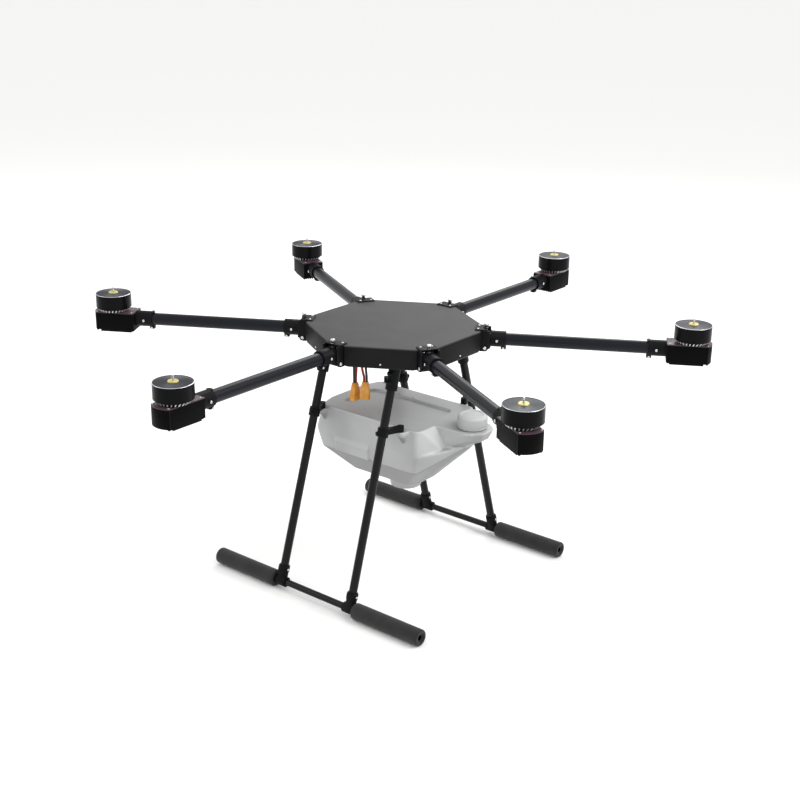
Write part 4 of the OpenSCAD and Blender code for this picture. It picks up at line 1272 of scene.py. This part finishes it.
def tankSolids():
    t = tank
    topHalf = [(t["front"], t["y"]), (-t["rear"], t["y"]), (-t["rear"] - 15, 60)]
    waistHalf = [(t["front"] + 36, 50), (t["front"] - 1, t["y"] + 5), (-t["rear"] - 16, t["y"] + 6),
                 (-t["rear"] - 24, 60)]
    chineHalf = [(166, 44), (t["front"] - 8, t["y"]), (-t["rear"] - 2, t["y"]), (-t["rear"] - 14, 55)]
    keelHalf = [(106, 30), (96, 56), (-78, 56), (-86, 40)]
    noseTop = [(t["neckX"] + 48, 22), (t["neckX"] + 22, 46), (120, 50)]
    noseMid = [(t["neckX"] + 36, 18), (t["neckX"] + 14, 42), (120, 50)]
    noseRoot = [(t["front"] + 14, 44), (120, 48)]
    prow = [(t["front"] + 75, 20), (t["front"], 40)]

    def level(height, half, radius=14):
        return height, roundedOutline(bothSides(half), radius)

    solids = [hullOf([level(t["top"], topHalf), level(t["waist"], waistHalf)]),
              hullOf([level(t["waist"], waistHalf), level(t["waist"] + 17, prow),
                      level(t["chine"], chineHalf), level(t["keel"], keelHalf)]),
              hullOf([level(t["top"], noseTop, 16), level(t["top"] - 25, noseMid),
                      level(t["waist"] - 2, noseRoot)])]
    for s in (-1, 1):  # raised side panel, its top sloping back into the wall
        section = [(t["y"] - 12, t["chine"] + 1), (t["y"] + 9.5, t["chine"] + 2),
                   (t["y"] + 11, t["chine"] + 26), (t["y"] + 4, t["chine"] + 45),
                   (t["y"] - 12, t["chine"] + 45)]
        panel = loft("panel", [[(x, s * y, z) for y, z in section] for x in t["panel"]], ["tank"])
        if s < 0:
            panel.flip_normals()
        solids.append(panel)
    sx, sy, sz = t["seat"]
    # lug that the clamp's tongue rests on, running down into the wall
    lug = hullOf([(sz + 4, [(sx + x, sy + y) for x, y in circle(12, 24)]),
                  (sz - 9, [(sx + x, sy - 2 + y) for x, y in circle(11, 24)]),
                  (sz - 30, [(sx + x, sy - 14 + y) for x, y in circle(6, 24)]),
                  (sz + 4, [(sx - 18, sy - 14), (sx + 18, sy - 14)])])
    return solids + onEachCorner(lug)


def skinned(obj, soften=0):  # one even skin over everything, its corners eased
    skin = obj.modifiers.new("skin", "REMESH")
    skin.mode = "VOXEL"
    skin.voxel_size = tank["voxel"] * mm
    if soften:
        ease = obj.modifiers.new("ease", "SMOOTH")
        ease.factor = 0.5
        ease.iterations = soften
    bakePiece(obj)


def bored(obj, radius, low, high, x, y, steps):
    hole = lathe("bore", [(0, low), (radius, low), (radius, high), (0, high)], steps, ["tank"], closed=False)
    carve(obj, showMesh("bore", scaledMesh(shifted(hole, x, y))))


def makeTank():
    t = tank
    obj = showMesh("tank", scaledMesh(joined("tank", tankSolids(), ["tank"])))
    skinned(obj)
    deck = prism("deck", roundedOutline(oblong(*t["deck"]), 18, 8), t["top"] - t["deckDrop"], t["top"] + 20,
                 ["tank"])
    carve(obj, showMesh("deck", scaledMesh(deck)))
    skinned(obj, t["soften"])
    inner = t["neckR"] - 3
    bored(obj, inner, 392, 440, t["neckX"], 0, 48)
    for x in t["deckHoleX"]:
        for s in (-1, 1):
            bored(obj, 2.4, t["top"] - 10, 440, x, s * t["deckHoleY"], 16)
    bored(obj, t["sumpR"] - 5, 240, 256, t["outletX"], 0, 48)
    r, rim = t["neckR"], t["neckTop"]
    neck = lathe("neck", [(inner, 396), (r, 396), (r, rim - 0.4), (r - 0.6, rim), (inner + 0.6, rim),
                          (inner, rim - 0.6)], 64, ["tank"])
    thread = shifted(grownMesh("neckThread", trees["thread"], {
        "Radius": r - 0.1, "Pitch": 6.0, "Turns": 2.5, "Depth": 1.1, "Material": finish["tank"]}), z=431)
    extra = [scaledMesh(shifted(mesh, t["neckX"])) for mesh in (neck, thread)]
    body = obj.data
    setFaces(body, ["tank"])
    for polygon in body.polygons:
        polygon.material_index = 0
    mesh = joined("tank", [body] + extra, ["tank"])
    bpy.data.objects.remove(obj)
    smoothFaces(mesh, 50)
    return addPiece("tankBody", mesh, "frame", "tank")


tankPiece = makeTank()
print("tank made with", len(tankPiece.data.polygons), "faces")


def sumpMesh():  # cup under the keel, with the outlet hole in its floor
    t = tank
    r, low, high = t["sumpR"], t["sump"], t["keel"]
    cup = lathe("tankSump", [(8, low + 0.6), (8.6, low), (13.6, low), (14.2, low + 0.8), (r - 3, low + 0.8),
                             (r - 0.8, low + 1.6), (r, low + 3.4), (r + 3.8, high - 0.2), (r + 3.2, high),
                             (r - 4, high), (r - 4, low + 8), (8.6, low + 8), (8, low + 7.4)], 72, ["tank"])
    smoothFaces(cup, 40)
    return scaledMesh(shifted(cup, t["outletX"]))


addPiece("tankSump", sumpMesh(), "frame", "tank_sump")


def capMesh():
    t = tank
    r, low, top = t["capR"], t["capLow"], t["capTop"]
    shell = lathe("capShell", [(r - 3.4, low), (r - 1.4, low), (r - 0.9, low + 0.6), (r - 0.9, low + 3),
                               (r - 1.6, low + 3.6), (r - 1.2, top - 5), (r - 1.8, top - 2.2),
                               (r - 4.5, top - 0.4), (r - 9, top), (r - 11, top - 0.2), (r - 12, top - 1.6),
                               (0, top - 1.6), (0, top - 5), (r - 3.4, top - 5)], 96, ["cap"])
    rib = prism("capRib", [(-1.0, -0.9), (0.9, -0.7), (0.9, 0.7), (-1.0, 0.9)], 0, 20.5, ["cap"])
    ribs = repeatedMesh("capRibs", trees["ring"], rib, {
        "Count": t["capRibs"], "Radius": r - 1.0, "Height": low + 4.2, "Material": finish["cap"]})
    mesh = joined("tankCap", [shell, ribs], ["cap"])
    smoothFaces(mesh, 36)
    return scaledMesh(shifted(mesh, t["neckX"]))


addPiece("tankCap", capMesh(), "cap", "tank_cap")
bpy.data.objects.remove(screwPart)
print("cap made")
